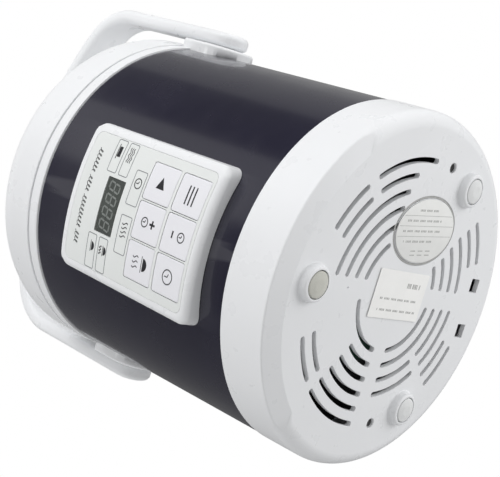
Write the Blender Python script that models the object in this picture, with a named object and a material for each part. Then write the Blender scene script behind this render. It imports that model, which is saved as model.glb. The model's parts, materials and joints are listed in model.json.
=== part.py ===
"""Small electric rice cooker for a vehicle, as an assembly of separate pieces.

Metres, +Z up. The origin is on the surface that the cooker stands on, below its centre.
The control panel faces -Y, the lid hinge is at +Y, and +X is on the right seen from the front.
"""

import math

import bmesh
import bpy
from mathutils import Matrix, Vector

# ---------------------------------------------------------------- driving dimensions
GAP = 0.0003                  # between two pieces that touch

FLOOR_Z = 0.005               # underside of the base cover
BAND_LOW = 0.0363
BAND_TOP = 0.1860
BAND_R = 0.095
BAND_THICK = 0.001
SKIN_R = 0.0955               # base cover, just proud of the band
RING_R = 0.096
SEAM_Z = 0.194                # where the lid meets the upper ring
LID_R = 0.0965
LID_SHOULDER = 0.020
LID_WALL_TOP = 0.2103
LID_TOP = 0.237

FOOT_RADIUS = 0.0712          # from the centre to each foot
FOOT_ANGLES = (0, 120, -120)
VENT_RADII = (0.031, 0.039, 0.047, 0.055, 0.063, 0.071)
VENT_WIDTH = 0.0028
VENT_RIB = 0.0064             # half of the plain rib between two quarters

PANEL_LOW = 0.051
PANEL_TOP = 0.160
PANEL_HALF = 0.040
PANEL_CORNER = 0.006
PANEL_PROUD_LOW = 0.0080      # the face stands further out at the bottom
PANEL_PROUD_TOP = 0.0012
PANEL_FACE_R = 0.145
FILM_THICK = 0.0019
KEY_TRAVEL = 0.0005
KEY_THICK = 0.0012

HINGE_Y = 0.0975
HINGE_Z = SEAM_Z
KNUCKLE_R = 0.0055
PIN_R = 0.0020

PIVOT_Z = 0.175
ARM_OUT = 0.109
ARM_THICK = 0.0085
ARM_HALF = 0.0125             # half of the bail's width
BAIL_TOP = 0.314
CROWN_R = 0.1718
CORNER_R = 0.040
BUSH_R = 0.006

POT_R = 0.079
POT_LOW = 0.066
POT_RIM_Z = 0.1888
POT_RIM_R = 0.085
LINER_R = 0.0822
PLATE_LOW = 0.0553
PLATE_R = 0.061
SENSOR_R = 0.0105

BUTTON_Y = -0.066
STEAM_Y = 0.030

ROUND = 48                    # facets round every large ring, so that nested rings stay parallel


# ---------------------------------------------------------------- finishes
FINISHES = {
    "white_abs": ((0.86, 0.87, 0.88, 1.0), 0.28, 0.0),
    "film": ((0.80, 0.81, 0.81, 1.0), 0.35, 0.0),
    "navy_paint": ((0.022, 0.020, 0.034, 1.0), 0.22, 0.1),
    "foot_rubber": ((0.50, 0.50, 0.44, 1.0), 0.8, 0.0),
    "silicone": ((0.75, 0.75, 0.72, 1.0), 0.6, 0.0),
    "steel": ((0.60, 0.60, 0.60, 1.0), 0.3, 1.0),
    "aluminium": ((0.75, 0.75, 0.76, 1.0), 0.4, 1.0),
    "dark_coating": ((0.06, 0.06, 0.065, 1.0), 0.45, 0.0),
    "brass": ((0.70, 0.52, 0.22, 1.0), 0.3, 1.0),
    "circuit_board": ((0.02, 0.16, 0.06, 1.0), 0.5, 0.0),
    "black_plastic": ((0.02, 0.02, 0.022, 1.0), 0.4, 0.0),
    "smoked_window": ((0.06, 0.065, 0.06, 1.0), 0.15, 0.0),
    "grey_label": ((0.72, 0.72, 0.70, 1.0), 0.5, 0.0),
    "wire_red": ((0.5, 0.03, 0.02, 1.0), 0.5, 0.0),
    "wire_white": ((0.7, 0.7, 0.68, 1.0), 0.5, 0.0),
}


def finish(name):
    """The Principled material of this name, made the first time it is asked for."""
    if name in bpy.data.materials:
        return bpy.data.materials[name]
    colour, roughness, metallic = FINISHES[name]
    made = bpy.data.materials.new(name)
    made.use_nodes = True
    shader = made.node_tree.nodes["Principled BSDF"]
    shader.inputs["Base Color"].default_value = colour
    shader.inputs["Roughness"].default_value = roughness
    shader.inputs["Metallic"].default_value = metallic
    made.diffuse_color = colour
    return made


# ---------------------------------------------------------------- modelling helpers
def clear_scene():
    for obj in list(bpy.data.objects):
        bpy.data.objects.remove(obj, do_unlink=True)


def empty(name, place, parent=None):
    """An empty that marks a joint's axis; the pieces that turn or slide on it hang from it."""
    marker = bpy.data.objects.new(name, None)
    marker.empty_display_size = 0.01
    bpy.context.scene.collection.objects.link(marker)
    marker.location = place
    if parent:
        marker.parent = parent
        marker.matrix_parent_inverse = Matrix.Translation(-parent_place(parent))
    return marker


def parent_place(marker):
    """World position of an empty; none of them is turned."""
    place = Vector(marker.location)
    if marker.parent:
        place += marker.matrix_parent_inverse.translation + parent_place(marker.parent)
    return place


def hang(obj, marker):
    """Hangs a piece that was modelled in world coordinates from a joint's empty."""
    obj.parent = marker
    obj.matrix_parent_inverse = Matrix.Translation(-parent_place(marker))
    return obj


def solid(name, bm, finish_name, smooth_angle=35):
    """Turns a bmesh into a named object with its finish."""
    bmesh.ops.remove_doubles(bm, verts=bm.verts, dist=1e-7)
    bmesh.ops.recalc_face_normals(bm, faces=bm.faces)
    mesh = bpy.data.meshes.new(name)
    bm.to_mesh(mesh)
    bm.free()
    mesh.shade_smooth()
    mesh.set_sharp_from_angle(angle=math.radians(smooth_angle))
    obj = bpy.data.objects.new(name, mesh)
    bpy.context.scene.collection.objects.link(obj)
    mesh.materials.append(finish(finish_name))
    return obj


def helper(name, bm):
    """A shape that only serves a Boolean, so it is neither rendered nor built."""
    obj = solid(name, bm, "white_abs")
    obj.hide_render = True
    obj.display_type = "WIRE"
    return obj


def boolean(obj, other, operation):
    modifier = obj.modifiers.new(operation.lower() + "_" + other.name, "BOOLEAN")
    modifier.operation = operation
    modifier.object = other
    modifier.solver = "EXACT"
    return obj


def cut(obj, *cutters):
    for cutter in cutters:
        boolean(obj, cutter, "DIFFERENCE")
    return obj


def join(obj, *others):
    for other in others:
        boolean(obj, other, "UNION")
    return obj


def turned(bm, profile, steps=ROUND, centre=(0, 0, 0), axis=(0, 0, 1), start=0.0, sweep=360.0):
    """Spins a profile of (radius, height) points about the axis.

    A profile that starts and ends on the axis closes there; any other is closed by its last edge.
    """
    axis = Vector(axis)
    turn = Vector((0, 0, 1)).rotation_difference(axis).to_matrix()
    first = Matrix.Rotation(math.radians(start), 3, "Z")
    points = [bm.verts.new(turn @ first @ Vector((r, 0, z)) + Vector(centre)) for r, z in profile]
    on_axis = profile[0][0] == 0 and profile[-1][0] == 0
    pairs = list(zip(points, points[1:]))
    if not on_axis:
        pairs.append((points[-1], points[0]))
    edges = [bm.edges.new(pair) for pair in pairs]
    whole = sweep == 360.0
    if not whole:
        bm.faces.new(points)
    made = bmesh.ops.spin(bm, geom=points + edges, cent=centre, axis=axis, steps=steps,
                          angle=math.radians(sweep), use_merge=whole)
    if not whole:
        ends = [item for item in made["geom_last"] if isinstance(item, bmesh.types.BMEdge)]
        bmesh.ops.contextual_create(bm, geom=ends)
    if on_axis:
        flatten_ends(bm, [Vector(centre) + axis * profile[end][1] for end, beside in ((0, 1), (-1, -2))
                          if profile[end][1] == profile[beside][1]])
    return bm


def flatten_ends(bm, middles):
    """Makes each flat round end one face, by dissolving the vertex in its middle."""
    bmesh.ops.remove_doubles(bm, verts=bm.verts, dist=1e-7)
    for middle in middles:
        found = [vert for vert in bm.verts if (vert.co - middle).length < 1e-7]
        bmesh.ops.dissolve_verts(bm, verts=found)


def turned_solid(name, profile, finish_name, **how):
    return solid(name, turned(bmesh.new(), profile, **how), finish_name)


def arc(centre, radius, start, end, steps):
    """Points on an arc, in degrees from the first coordinate's axis."""
    angles = [math.radians(start + (end - start) * i / steps) for i in range(steps + 1)]
    return [(centre[0] + radius * math.cos(a), centre[1] + radius * math.sin(a)) for a in angles]


def prism(bm, outline, low, high, place=lambda u, v, w: (u, v, w)):
    """Extrudes a closed outline of (u, v) points from w=low to w=high."""
    bottom = [bm.verts.new(place(u, v, low)) for u, v in outline]
    top = [bm.verts.new(place(u, v, high)) for u, v in outline]
    bm.faces.new(bottom)
    bm.faces.new(top)
    for i, vert in enumerate(bottom):
        j = (i + 1) % len(bottom)
        bm.faces.new((vert, bottom[j], top[j], top[i]))
    return bm


def block(bm, low, high):
    """A box between two corners."""
    outline = [(low[0], low[1]), (high[0], low[1]), (high[0], high[1]), (low[0], high[1])]
    return prism(bm, outline, low[2], high[2])


def rounded_outline(low, high, radius, steps=3):
    """A rectangle with round corners, from its lower left to its upper right corner."""
    corners = (
        (high[0] - radius, high[1] - radius, 0),
        (low[0] + radius, high[1] - radius, 90),
        (low[0] + radius, low[1] + radius, 180),
        (high[0] - radius, low[1] + radius, 270),
    )
    points = []
    for u, v, start in corners:
        points += arc((u, v), radius, start, start + 90, steps)
    return points


def along_x(u, v, w):
    """Places an outline drawn in Y and Z, extruded along X."""
    return (w, u, v)


def rod(bm, radius, start, end, steps=16):
    """A plain round rod between two points."""
    start, end = Vector(start), Vector(end)
    length = (end - start).length
    return turned(bm, [(0, 0), (radius, 0), (radius, length), (0, length)], steps=steps,
                  centre=start, axis=(end - start).normalized())


def swept_strip(bm, path, width_axis, half_width, half_thick, corner):
    """Sweeps a strip with cut corners along a flat path; width_axis is square to the path's plane."""
    width_axis = Vector(width_axis)
    section = [
        (-half_width + corner, -half_thick), (half_width - corner, -half_thick),
        (half_width, -half_thick + corner), (half_width, half_thick - corner),
        (half_width - corner, half_thick), (-half_width + corner, half_thick),
        (-half_width, half_thick - corner), (-half_width, -half_thick + corner),
    ]
    section = section if corner else section[::2]
    rings = []
    for i, point in enumerate(path):
        ahead = path[min(i + 1, len(path) - 1)] - path[max(i - 1, 0)]
        across = ahead.normalized().cross(width_axis)
        rings.append([bm.verts.new(point + width_axis * w + across * t) for w, t in section])
    for ring, following in zip(rings, rings[1:]):
        for i, vert in enumerate(ring):
            j = (i + 1) % len(ring)
            bm.faces.new((vert, ring[j], following[j], following[i]))
    bm.faces.new(rings[0])
    bm.faces.new(rings[-1])
    return bm


def tube_curve(name, paths, radius, finish_name, smooth=True, points=11):
    """Round tubes along smooth curves through the given points, as one curve object."""
    curve = bpy.data.curves.new(name, "CURVE")
    curve.dimensions = "3D"
    curve.bevel_depth = radius
    curve.bevel_resolution = 1
    curve.use_fill_caps = True
    for path in paths:
        route = smooth_route(path, points) if smooth else [Vector(p) for p in path]
        spline = curve.splines.new("POLY")
        spline.points.add(len(route) - 1)
        for target, point in zip(spline.points, route):
            target.co = (*point, 1.0)
    curve.materials.append(finish(finish_name))
    obj = bpy.data.objects.new(name, curve)
    bpy.context.scene.collection.objects.link(obj)
    return obj


def smooth_route(path, count):
    """A Catmull-Rom curve through the path's points."""
    route = [Vector(p) for p in path]
    route = [route[0] * 2 - route[1]] + route + [route[-1] * 2 - route[-2]]
    spans = len(route) - 3
    result = []
    for i in range(count + 1):
        where = spans * i / count
        span = min(int(where), spans - 1)
        t = where - span
        a, b, c, d = route[span:span + 4]
        result.append(0.5 * (2 * b + (c - a) * t + (2 * a - 5 * b + 4 * c - d) * t ** 2
                             + (3 * b - a - 3 * c + d) * t ** 3))
    return result


def coil_spring(name, start, axis, length, radius, wire, turns):
    """A helical compression spring as a thin tube."""
    axis = Vector(axis)
    turn = Vector((0, 0, 1)).rotation_difference(axis).to_matrix()
    steps = int(turns * 7)
    path = []
    for i in range(steps + 1):
        angle = 2 * math.pi * turns * i / steps
        local = Vector((radius * math.cos(angle), radius * math.sin(angle), length * i / steps))
        path.append(Vector(start) + turn @ local)
    obj = tube_curve(name, [path], wire, "steel", smooth=False)
    obj.data.bevel_resolution = 0
    return obj


def polar(radius, degrees_from_front):
    """X and Y of a point at an angle from the front (-Y), positive towards +X."""
    angle = math.radians(degrees_from_front)
    return radius * math.sin(angle), -radius * math.cos(angle)


# ---------------------------------------------------------------- base
def vent_cutter():
    """Every slot in the underside: concentric arcs, broken by plain ribs and by the label areas."""
    bm = bmesh.new()
    for ring, radius in enumerate(VENT_RADII):
        rib = math.degrees(VENT_RIB / radius)
        for start, end in vent_arcs(ring, rib):
            outer = [polar(radius + VENT_WIDTH / 2, a) for a in steps_between(start, end)]
            inner = [polar(radius - VENT_WIDTH / 2, a) for a in steps_between(end, start)]
            outline = outer + slot_tip(radius, end, 1) + inner + slot_tip(radius, start, -1)
            prism(bm, outline, FLOOR_Z - 0.002, FLOOR_Z + 0.004)
    return helper("vent_cutter", bm)


def vent_arcs(ring, rib):
    """(start, end) angles from the front of one ring's slots, positive to the right."""
    outer = ring >= 4
    arcs = []
    left_side = (-90 + rib, -rib) if ring == 0 else (-90 + rib, -49)
    arcs.append(left_side)
    if outer:
        arcs.append((-42, -23))
        arcs.append((23, 44))
        arcs.append((52, 77 if ring == 4 else 89))
        arcs.append((-158, -138))
        arcs.append((141, 160))
    else:
        arcs.append((rib, (50, 64, 68, 72)[ring]))
        arcs.append(((148, 146, 143, 141)[ring], 180 - rib))
        if ring < 2:
            arcs.append((-180 + rib, -90 - rib))
        else:
            arcs.append((-130, -90 - rib))
            arcs.append((-180 + rib, -139))
    return arcs


def steps_between(start, end):
    count = max(2, round(abs(end - start) / 16))
    return [start + (end - start) * i / count for i in range(count + 1)]


def slot_tip(radius, angle, direction):
    """The point at the end of a slot, half the slot's width past its corners."""
    past = math.degrees(VENT_WIDTH / 2 / radius) * direction
    return [polar(radius, angle + past)]


def base_profile():
    """Underside and wall of the base cover, with the lip that goes inside the band."""
    wall_in = SKIN_R - 0.0027
    lip_out = BAND_R - BAND_THICK - GAP
    lip_in = lip_out - 0.0025
    top = BAND_LOW - GAP
    return [
        (0, FLOOR_Z), (0.0855, FLOOR_Z), (SKIN_R, 0.0084), (SKIN_R, top), (lip_out, top),
        (lip_out, 0.044), (lip_in, 0.044), (lip_in, top - 0.002), (wall_in, top - 0.004),
        (wall_in, 0.013), (0.0875, 0.0076), (0, 0.0076),
    ]


def edge_cutter():
    """Rounds the bottom edge, except along the front, which keeps its flat chamfer."""
    radius = 0.008
    centre = (SKIN_R - radius + GAP, FLOOR_Z + radius - GAP)
    curve = arc(centre, radius, 0, -90, 5)
    outside = [(centre[0], FLOOR_Z - 0.004), (SKIN_R + 0.004, FLOOR_Z - 0.004), (SKIN_R + 0.004, centre[1])]
    profile = curve + outside
    facet = 360 / ROUND
    bm = turned(bmesh.new(), profile, steps=ROUND - 14, start=-5 * facet, sweep=360.0 - 14 * facet)
    return helper("edge_cutter", bm)


SCREW_ANGLES = (-100, 102)
SCREW_RADIUS = 0.0717
SCREW_HOLE_R = 0.0026
SCREW_BORE_R = 0.0017
BOARD_POSTS = ((-0.036, -0.008), (0.036, -0.008))
BOARD_Z = 0.024


def make_base_cover():
    cover = turned_solid("base_cover", base_profile(), "white_abs")
    added = bmesh.new()
    for angle in SCREW_ANGLES:
        x, y = polar(SCREW_RADIUS, angle)
        rod(added, 0.006, (x, y, 0.0070), (x, y, 0.0103), steps=12)
    for x, y in BOARD_POSTS:
        rod(added, 0.0035, (x, y, 0.0070), (x, y, BOARD_Z - GAP), steps=8)
    for angle in FOOT_ANGLES:
        x, y = polar(FOOT_RADIUS, angle)
        turned(added, [(0, 0.0022), (0.0086, 0.0022), (0.0093, 0.0056), (0, 0.0056)],
               steps=18, centre=(x, y, 0))
    join(cover, helper("base_posts", added))
    removed = bmesh.new()
    for angle in FOOT_ANGLES:
        x, y = polar(FOOT_RADIUS, angle)
        rod(removed, 0.0073, (x, y, 0.001), (x, y, 0.0042), steps=18)
    for angle in SCREW_ANGLES:
        x, y = polar(SCREW_RADIUS, angle)
        profile = [(0, 0.003), (SCREW_HOLE_R, 0.003), (SCREW_HOLE_R, 0.008), (SCREW_BORE_R, 0.008),
                   (SCREW_BORE_R, 0.012), (0, 0.012)]
        turned(removed, profile, steps=12, centre=(x, y, 0))
    for x in (-0.0156, 0.0111):
        block(removed, (x - 0.0039, 0.0682, 0.003), (x + 0.0039, 0.0760, 0.009))
    block(removed, (-INLET_HALF_X - GAP, 0.085, INLET_LOW - GAP),
          (INLET_HALF_X + GAP, 0.100, INLET_HIGH + GAP))
    cut(cover, vent_cutter(), edge_cutter(), helper("base_openings", removed))
    return cover


def make_feet():
    for name, angle in zip(("foot_pad_front", "foot_pad_right", "foot_pad_left"), FOOT_ANGLES):
        x, y = polar(FOOT_RADIUS, angle)
        profile = [(0, 0), (0.0062, 0), (0.0070, 0.0008), (0.0070, 0.0039), (0, 0.0039)]
        turned_solid(name, profile, "foot_rubber", steps=18, centre=(x, y, 0))


def make_base_screws():
    head_r, shank_r = SCREW_HOLE_R - 0.0004, SCREW_BORE_R - 0.0004
    profile = [(0, 0.0062), (head_r, 0.0062), (head_r, 0.0077), (shank_r, 0.0077), (shank_r, 0.022),
               (0, 0.022)]
    for name, angle in zip(("base_screw_left", "base_screw_right"), SCREW_ANGLES):
        x, y = polar(SCREW_RADIUS, angle)
        turned_solid(name, profile, "steel", steps=12, centre=(x, y, 0))


def make_labels():
    """The thin plates on the underside: an oval one on the right and a plain one in the middle."""
    centre_x, centre_y = 0.035, 0.0067
    lean = math.radians(-6.5)
    outline = []
    for i in range(36):
        angle = 2 * math.pi * i / 36
        u, v = 0.017 * math.cos(angle), 0.0253 * math.sin(angle)
        x = centre_x + u * math.cos(lean) - v * math.sin(lean)
        y = centre_y + u * math.sin(lean) + v * math.cos(lean)
        outline.append((x, y))
    low, high = FLOOR_Z - GAP - 0.0004, FLOOR_Z - GAP
    solid("rating_plate", prism(bmesh.new(), outline, low, high), "grey_label")
    sheet = rounded_outline((-0.0132, -0.0210), (0.0125, 0.0238), 0.001, steps=2)
    solid("base_label", prism(bmesh.new(), sheet, low + 0.0001, high), "grey_label")


FRAME_Z = 0.0443


def make_support_frame():
    """The plastic ring that the base screws pull up against, and that carries the liner."""
    low, high = FRAME_Z, FRAME_Z + 0.0025
    frame = turned_solid("support_frame", [(0.064, low), (0.0934, low), (0.0934, high), (0.064, high)],
                         "black_plastic")
    added = bmesh.new()
    removed = bmesh.new()
    for angle in SCREW_ANGLES:
        x, y = polar(SCREW_RADIUS, angle)
        rod(added, 0.0045, (x, y, 0.0106), (x, y, low + 0.001))
        rod(removed, 0.0016, (x, y, 0.009), (x, y, 0.024), steps=12)
    for angle in (60, 180, -60):
        x, y = polar(0.069, angle)
        rod(added, 0.004, (x, y, high - 0.001), (x, y, LINER_LOW - GAP))
    block(removed, (-0.010, -0.096, low - 0.002), (0.010, -0.078, high + 0.002))
    join(frame, helper("frame_posts", added))
    cut(frame, helper("frame_openings", removed))


# ---------------------------------------------------------------- power electronics
INLET_HALF_X = 0.0125
INLET_LOW = 0.015
INLET_HIGH = 0.029
INLET_BACK = 0.0965


def make_power_inlet():
    """The rear socket for the vehicle lead, with its two pins."""
    shell = block(bmesh.new(), (-INLET_HALF_X, 0.074, INLET_LOW), (INLET_HALF_X, INLET_BACK, INLET_HIGH))
    body = solid("power_inlet", shell, "black_plastic")
    hole = bmesh.new()
    prism(hole, rounded_outline((-0.0095, 0.0178), (0.0095, 0.0262), 0.002), 0.078, INLET_BACK + 0.002,
          lambda u, v, w: (u, w, v))
    pin_holes = bmesh.new()
    for side, x in (("left", -0.005), ("right", 0.005)):
        rod(pin_holes, 0.0015, (x, 0.070, 0.022), (x, 0.080, 0.022), steps=12)
        pin = rod(bmesh.new(), 0.0012, (x, 0.0725, 0.022), (x, 0.0925, 0.022), steps=12)
        solid("inlet_pin_" + side, pin, "brass")
    cut(body, helper("socket_cutter", hole), helper("pin_cutter", pin_holes))


def make_power_board():
    low, high = BOARD_Z, BOARD_Z + 0.0016
    plate = block(bmesh.new(), (-0.042, -0.040, low), (0.042, 0.024, high))
    board = solid("power_board", plate, "circuit_board")
    holes = bmesh.new()
    for side, (x, y) in zip(("left", "right"), BOARD_POSTS):
        rod(holes, 0.0016, (x, y, low - 0.001), (x, y, high + 0.001), steps=10)
        profile = [(0, low), (0.0013, low), (0.0013, high + GAP), (0.0026, high + GAP),
                   (0.0026, high + 0.0019), (0, high + 0.0019)]
        turned_solid("board_screw_" + side, profile, "steel", steps=12, centre=(x, y, 0))
    cut(board, helper("board_holes", holes))
    top = high + GAP
    relay = rounded_outline((-0.028, -0.028), (-0.010, -0.012), 0.001, steps=1)
    solid("power_relay", prism(bmesh.new(), relay, top, top + 0.014), "black_plastic")
    can = [(0, 0), (0.006, 0), (0.006, 0.0118), (0.0055, 0.0126), (0, 0.0126)]
    turned_solid("power_capacitor", can, "black_plastic", steps=16, centre=(0.010, -0.022, top))
    sink = bmesh.new()
    fins = 6
    pitch = 0.0042
    outline = [(0.0, top), (fins * pitch - 0.0027, top)]
    for i in reversed(range(fins)):
        right = i * pitch + 0.0015
        outline += [(right, top + 0.009), (i * pitch, top + 0.009)]
        if i:
            outline += [(i * pitch, top + 0.003), ((i - 1) * pitch + 0.0015, top + 0.003)]
    prism(sink, [(x - 0.012, z) for x, z in outline], 0.0, 0.014, lambda u, v, w: (u, w, v))
    solid("heat_sink", sink, "aluminium")


def make_internal_leads():
    """Leads inside the base, from the inlet to the board and from the board to the heater."""
    for side, sign in (("left", -1), ("right", 1)):
        x = sign * 0.005
        inlet = [(x, 0.0722, 0.022), (x, 0.060, 0.022), (x * 1.4, 0.045, 0.029), (x * 1.6, 0.031, 0.034),
                 (x * 1.6, 0.0225, 0.0340), (x * 1.6, 0.0195, 0.0272)]
        tube_curve("inlet_lead_" + side, [inlet], 0.0011, "wire_red")
        x = sign * TERMINAL_X
        heater = [(x, TERMINAL_Y, TERMINAL_LOW - 0.0004), (x, TERMINAL_Y, 0.036),
                  (sign * 0.024, 0.028, 0.033), (sign * 0.026, 0.016, 0.032), (sign * 0.026, 0.010, 0.0275)]
        tube_curve("heater_lead_" + side, [heater], 0.0011, "wire_white")
    sensor = [(0.004, 0.0, 0.0405), (0.008, 0.0, 0.0385), (0.024, -0.004, 0.0380),
              (0.031, -0.008, 0.0340), (0.032, -0.010, 0.0272)]
    tube_curve("sensor_lead", [sensor], 0.0008, "wire_white")


# ---------------------------------------------------------------- heater
LINER_LOW = 0.0541
TERMINAL_X = 0.0105
TERMINAL_Y = 0.0407
TERMINAL_LOW = 0.0415


def make_inner_liner():
    """The metal cup that the cooking pot hangs in."""
    thick = 0.0008
    flange_top = 0.1852
    bend = 0.006
    outer = arc((LINER_R - bend, LINER_LOW + bend), bend, -90, 0, 2)
    inner = arc((LINER_R - bend, LINER_LOW + bend), bend - thick, 0, -90, 2)
    profile = [(0.056, LINER_LOW)] + outer
    profile += [(LINER_R, flange_top - thick), (0.0906, flange_top - thick), (0.0906, flange_top),
                (LINER_R - thick, flange_top)]
    profile += inner + [(0.056, LINER_LOW + thick)]
    turned_solid("inner_liner", profile, "aluminium")


def make_heating_plate():
    top = POT_LOW - GAP
    profile = [(0.0118, PLATE_LOW), (PLATE_R, PLATE_LOW), (PLATE_R, top - 0.004), (PLATE_R - 0.003, top),
               (0.0118, top)]
    turned_solid("heating_plate", profile, "aluminium", steps=48)


def make_heating_element():
    """The tubular heater under the plate; its two ends turn down at the rear."""
    height = PLATE_LOW - GAP - 0.0038
    path = []
    gap_angle = math.degrees(math.asin(TERMINAL_X / 0.042))
    for i in range(29):
        x, y = polar(0.042, -180 + gap_angle + (360 - 2 * gap_angle) * i / 28)
        path.append((x, y, height))
    first = (path[0][0], path[0][1], TERMINAL_LOW)
    last = (path[-1][0], path[-1][1], TERMINAL_LOW)
    tube_curve("heating_element", [[first] + path + [last]], 0.0036, "steel", smooth=False)


def make_sensor_group(marker):
    """The sprung sensor in the middle of the heating plate, and the bracket that carries it."""
    low = 0.0465
    bracket = bmesh.new()
    outline = [(-0.018, low), (0.018, low), (0.018, PLATE_LOW - GAP), (0.0165, PLATE_LOW - GAP),
               (0.0165, low + 0.0015), (-0.0165, low + 0.0015), (-0.0165, PLATE_LOW - GAP),
               (-0.018, PLATE_LOW - GAP)]
    prism(bracket, outline, -0.006, 0.006, lambda u, v, w: (u, w, v))
    bracket = solid("sensor_bracket", bracket, "steel")
    cut(bracket, helper("bracket_hole", rod(bmesh.new(), 0.0033, (0, 0, low - 0.002), (0, 0, low + 0.004))))
    top = POT_LOW - GAP
    profile = [(0, 0.0435), (0.0028, 0.0435), (0.0028, 0.0605), (0.0098, 0.0605), (SENSOR_R, 0.0615),
               (SENSOR_R, top - 0.0008), (SENSOR_R - 0.0008, top), (0, top)]
    hang(turned_solid("temperature_sensor", profile, "aluminium", steps=24), marker)
    coil_spring("sensor_spring", (0, 0, low + 0.0023), (0, 0, 1), 0.0112, 0.0050, 0.0004, 4)


def make_thermal_fuse():
    bm = bmesh.new()
    height = PLATE_LOW - GAP - 0.0031
    rod(bm, 0.0028, (-0.024, -0.0265, height), (-0.008, -0.0265, height), steps=12)
    solid("thermal_fuse", bm, "steel")


def make_inner_pot():
    """The pressed aluminium cooking pot, with its rolled-out rim resting on the upper ring."""
    wall = 0.0015
    bend = 0.018
    outer = arc((POT_R - bend, POT_LOW + bend), bend, -90, 0, 3)
    inner = arc((POT_R - bend, POT_LOW + bend), bend - wall, 0, -90, 3)
    rim_top = POT_RIM_Z + 0.0012
    profile = [(0, POT_LOW)] + outer
    profile += [(POT_R, POT_RIM_Z), (POT_RIM_R, POT_RIM_Z), (POT_RIM_R, rim_top), (POT_R - wall, rim_top)]
    profile += inner + [(0, POT_LOW + wall)]
    turned_solid("inner_pot", profile, "dark_coating")


# ---------------------------------------------------------------- body shells
EAR_HALF = 0.0175
EAR_FACE = 0.100


def ear_outline(grow=0.0, top=SEAM_Z - 0.0007):
    """Side view of an ear of the upper ring: half round below, straight sides up to the seam."""
    half = EAR_HALF + grow
    return arc((0, PIVOT_Z), half, 180, 360, 12) + [(half, top), (-half, top)]


def make_outer_band():
    """The painted steel band, open where the panel and the ears go through it."""
    inner = BAND_R - BAND_THICK
    band = turned_solid("outer_band", [(inner, BAND_LOW), (BAND_R, BAND_LOW), (BAND_R, BAND_TOP),
                                       (inner, BAND_TOP)], "navy_paint")
    notches = bmesh.new()
    outline = ear_outline(GAP, BAND_TOP + 0.005)
    prism(notches, outline, -0.105, -0.085, along_x)
    prism(notches, outline, 0.085, 0.105, along_x)
    window = rounded_outline((-PLUG_HALF - GAP, PLUG_LOW - GAP), (PLUG_HALF + GAP, PLUG_TOP + GAP), 0.004)
    prism(notches, window, -0.110, -0.080, lambda u, v, w: (u, w, v))
    cut(band, helper("band_openings", notches))


def make_upper_ring():
    """The ring on top of the band: pot rest, lid seat, ears for the handle and hinge lugs."""
    top = SEAM_Z - 0.0002
    skirt_out = BAND_R - BAND_THICK - GAP
    skirt_in = skirt_out - 0.0025
    low = BAND_TOP + GAP
    profile = [
        (0.0825, 0.1855), (skirt_in, 0.1855), (skirt_in, 0.172), (skirt_out, 0.172), (skirt_out, low),
        (RING_R, low), (RING_R, top - 0.001), (RING_R - 0.001, top), (0.0910, top), (0.0900, top - 0.001),
        (0.0900, 0.1885), (0.0825, 0.1885),
    ]
    ring = turned_solid("upper_ring", profile, "white_abs")
    ears = bmesh.new()
    prism(ears, ear_outline(), -EAR_FACE, -0.088, along_x)
    prism(ears, ear_outline(), 0.088, EAR_FACE, along_x)
    ears = helper("ring_ears", ears)
    inside = (skirt_in + skirt_out) / 2
    hollow = turned(bmesh.new(), [(0, 0.150), (inside, 0.150), (inside, 0.200), (0, 0.200)])
    boolean(ears, helper("ear_inside", hollow), "DIFFERENCE")
    lugs = bmesh.new()
    for side in (-1, 1):
        x0, x1 = sorted((side * 0.0125, side * 0.025))
        rod(lugs, KNUCKLE_R, (x0, HINGE_Y, HINGE_Z), (x1, HINGE_Y, HINGE_Z), steps=24)
    webs = bmesh.new()
    for side in (-1, 1):
        x0, x1 = sorted((side * 0.0127, side * 0.0248))
        block(webs, (x0, 0.0915, BAND_TOP + 3 * GAP), (x1, HINGE_Y + 0.004, HINGE_Z - 0.0008))
    join(ring, ears, helper("hinge_lugs", lugs), helper("hinge_webs", webs))
    removed = bmesh.new()
    rod(removed, PIN_R + GAP, (-0.027, HINGE_Y, HINGE_Z), (0.027, HINGE_Y, HINGE_Z), steps=14)
    rod(removed, BUSH_R + GAP, (-0.110, 0, PIVOT_Z), (-0.080, 0, PIVOT_Z), steps=24)
    rod(removed, BUSH_R + GAP, (0.080, 0, PIVOT_Z), (0.110, 0, PIVOT_Z), steps=24)
    lug_space = block(bmesh.new(), (-0.0123, 0.0918, 0.1878), (0.0123, 0.106, 0.203))
    latch_slot = bmesh.new()
    block(latch_slot, (-0.009, -0.0910, 0.1865), (0.009, -0.0800, 0.198))
    catch = bmesh.new()
    block(catch, (-0.009, -0.0932, 0.1866), (0.009, -0.0805, 0.1916))
    cut(ring, helper("ring_bores", removed), helper("lug_space", lug_space),
        helper("latch_slot", latch_slot), helper("catch_pocket", catch))


# ---------------------------------------------------------------- control panel
PLUG_HALF = 0.0367
PLUG_LOW = 0.0538
PLUG_TOP = 0.1572
FILM_HALF = 0.0350
FILM_LOW = 0.0555
FILM_TOP = 0.1555
FLOOR_FRONT = 0.0022          # depth below the face where the tray's floor starts
FLOOR_BACK = 0.0039
PCB_FRONT = 0.0090
SWITCH_FRONT = 0.0064
LIGHT_FRONT = 0.0073

KEY_X = (-0.0205, 0.0000, 0.0205)
KEY_Z = (0.0915, 0.0680)
KEY_HALF_X = 0.0096
KEY_HALF_Z = 0.0106
KEY_NAMES = (("key_keep_warm", "key_hour_up", "key_start"),
             ("key_timer", "key_minute_down", "key_function"))
DISPLAY_LOW = (-0.0145, 0.1180)
DISPLAY_HIGH = (0.0145, 0.1325)
LIGHT_SPOTS = ((-0.0265, 0.1325), (-0.0265, 0.1235), (0.0265, 0.1315), (0.0265, 0.1230),
               (-0.0120, 0.1085), (0.0140, 0.1085))


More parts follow.
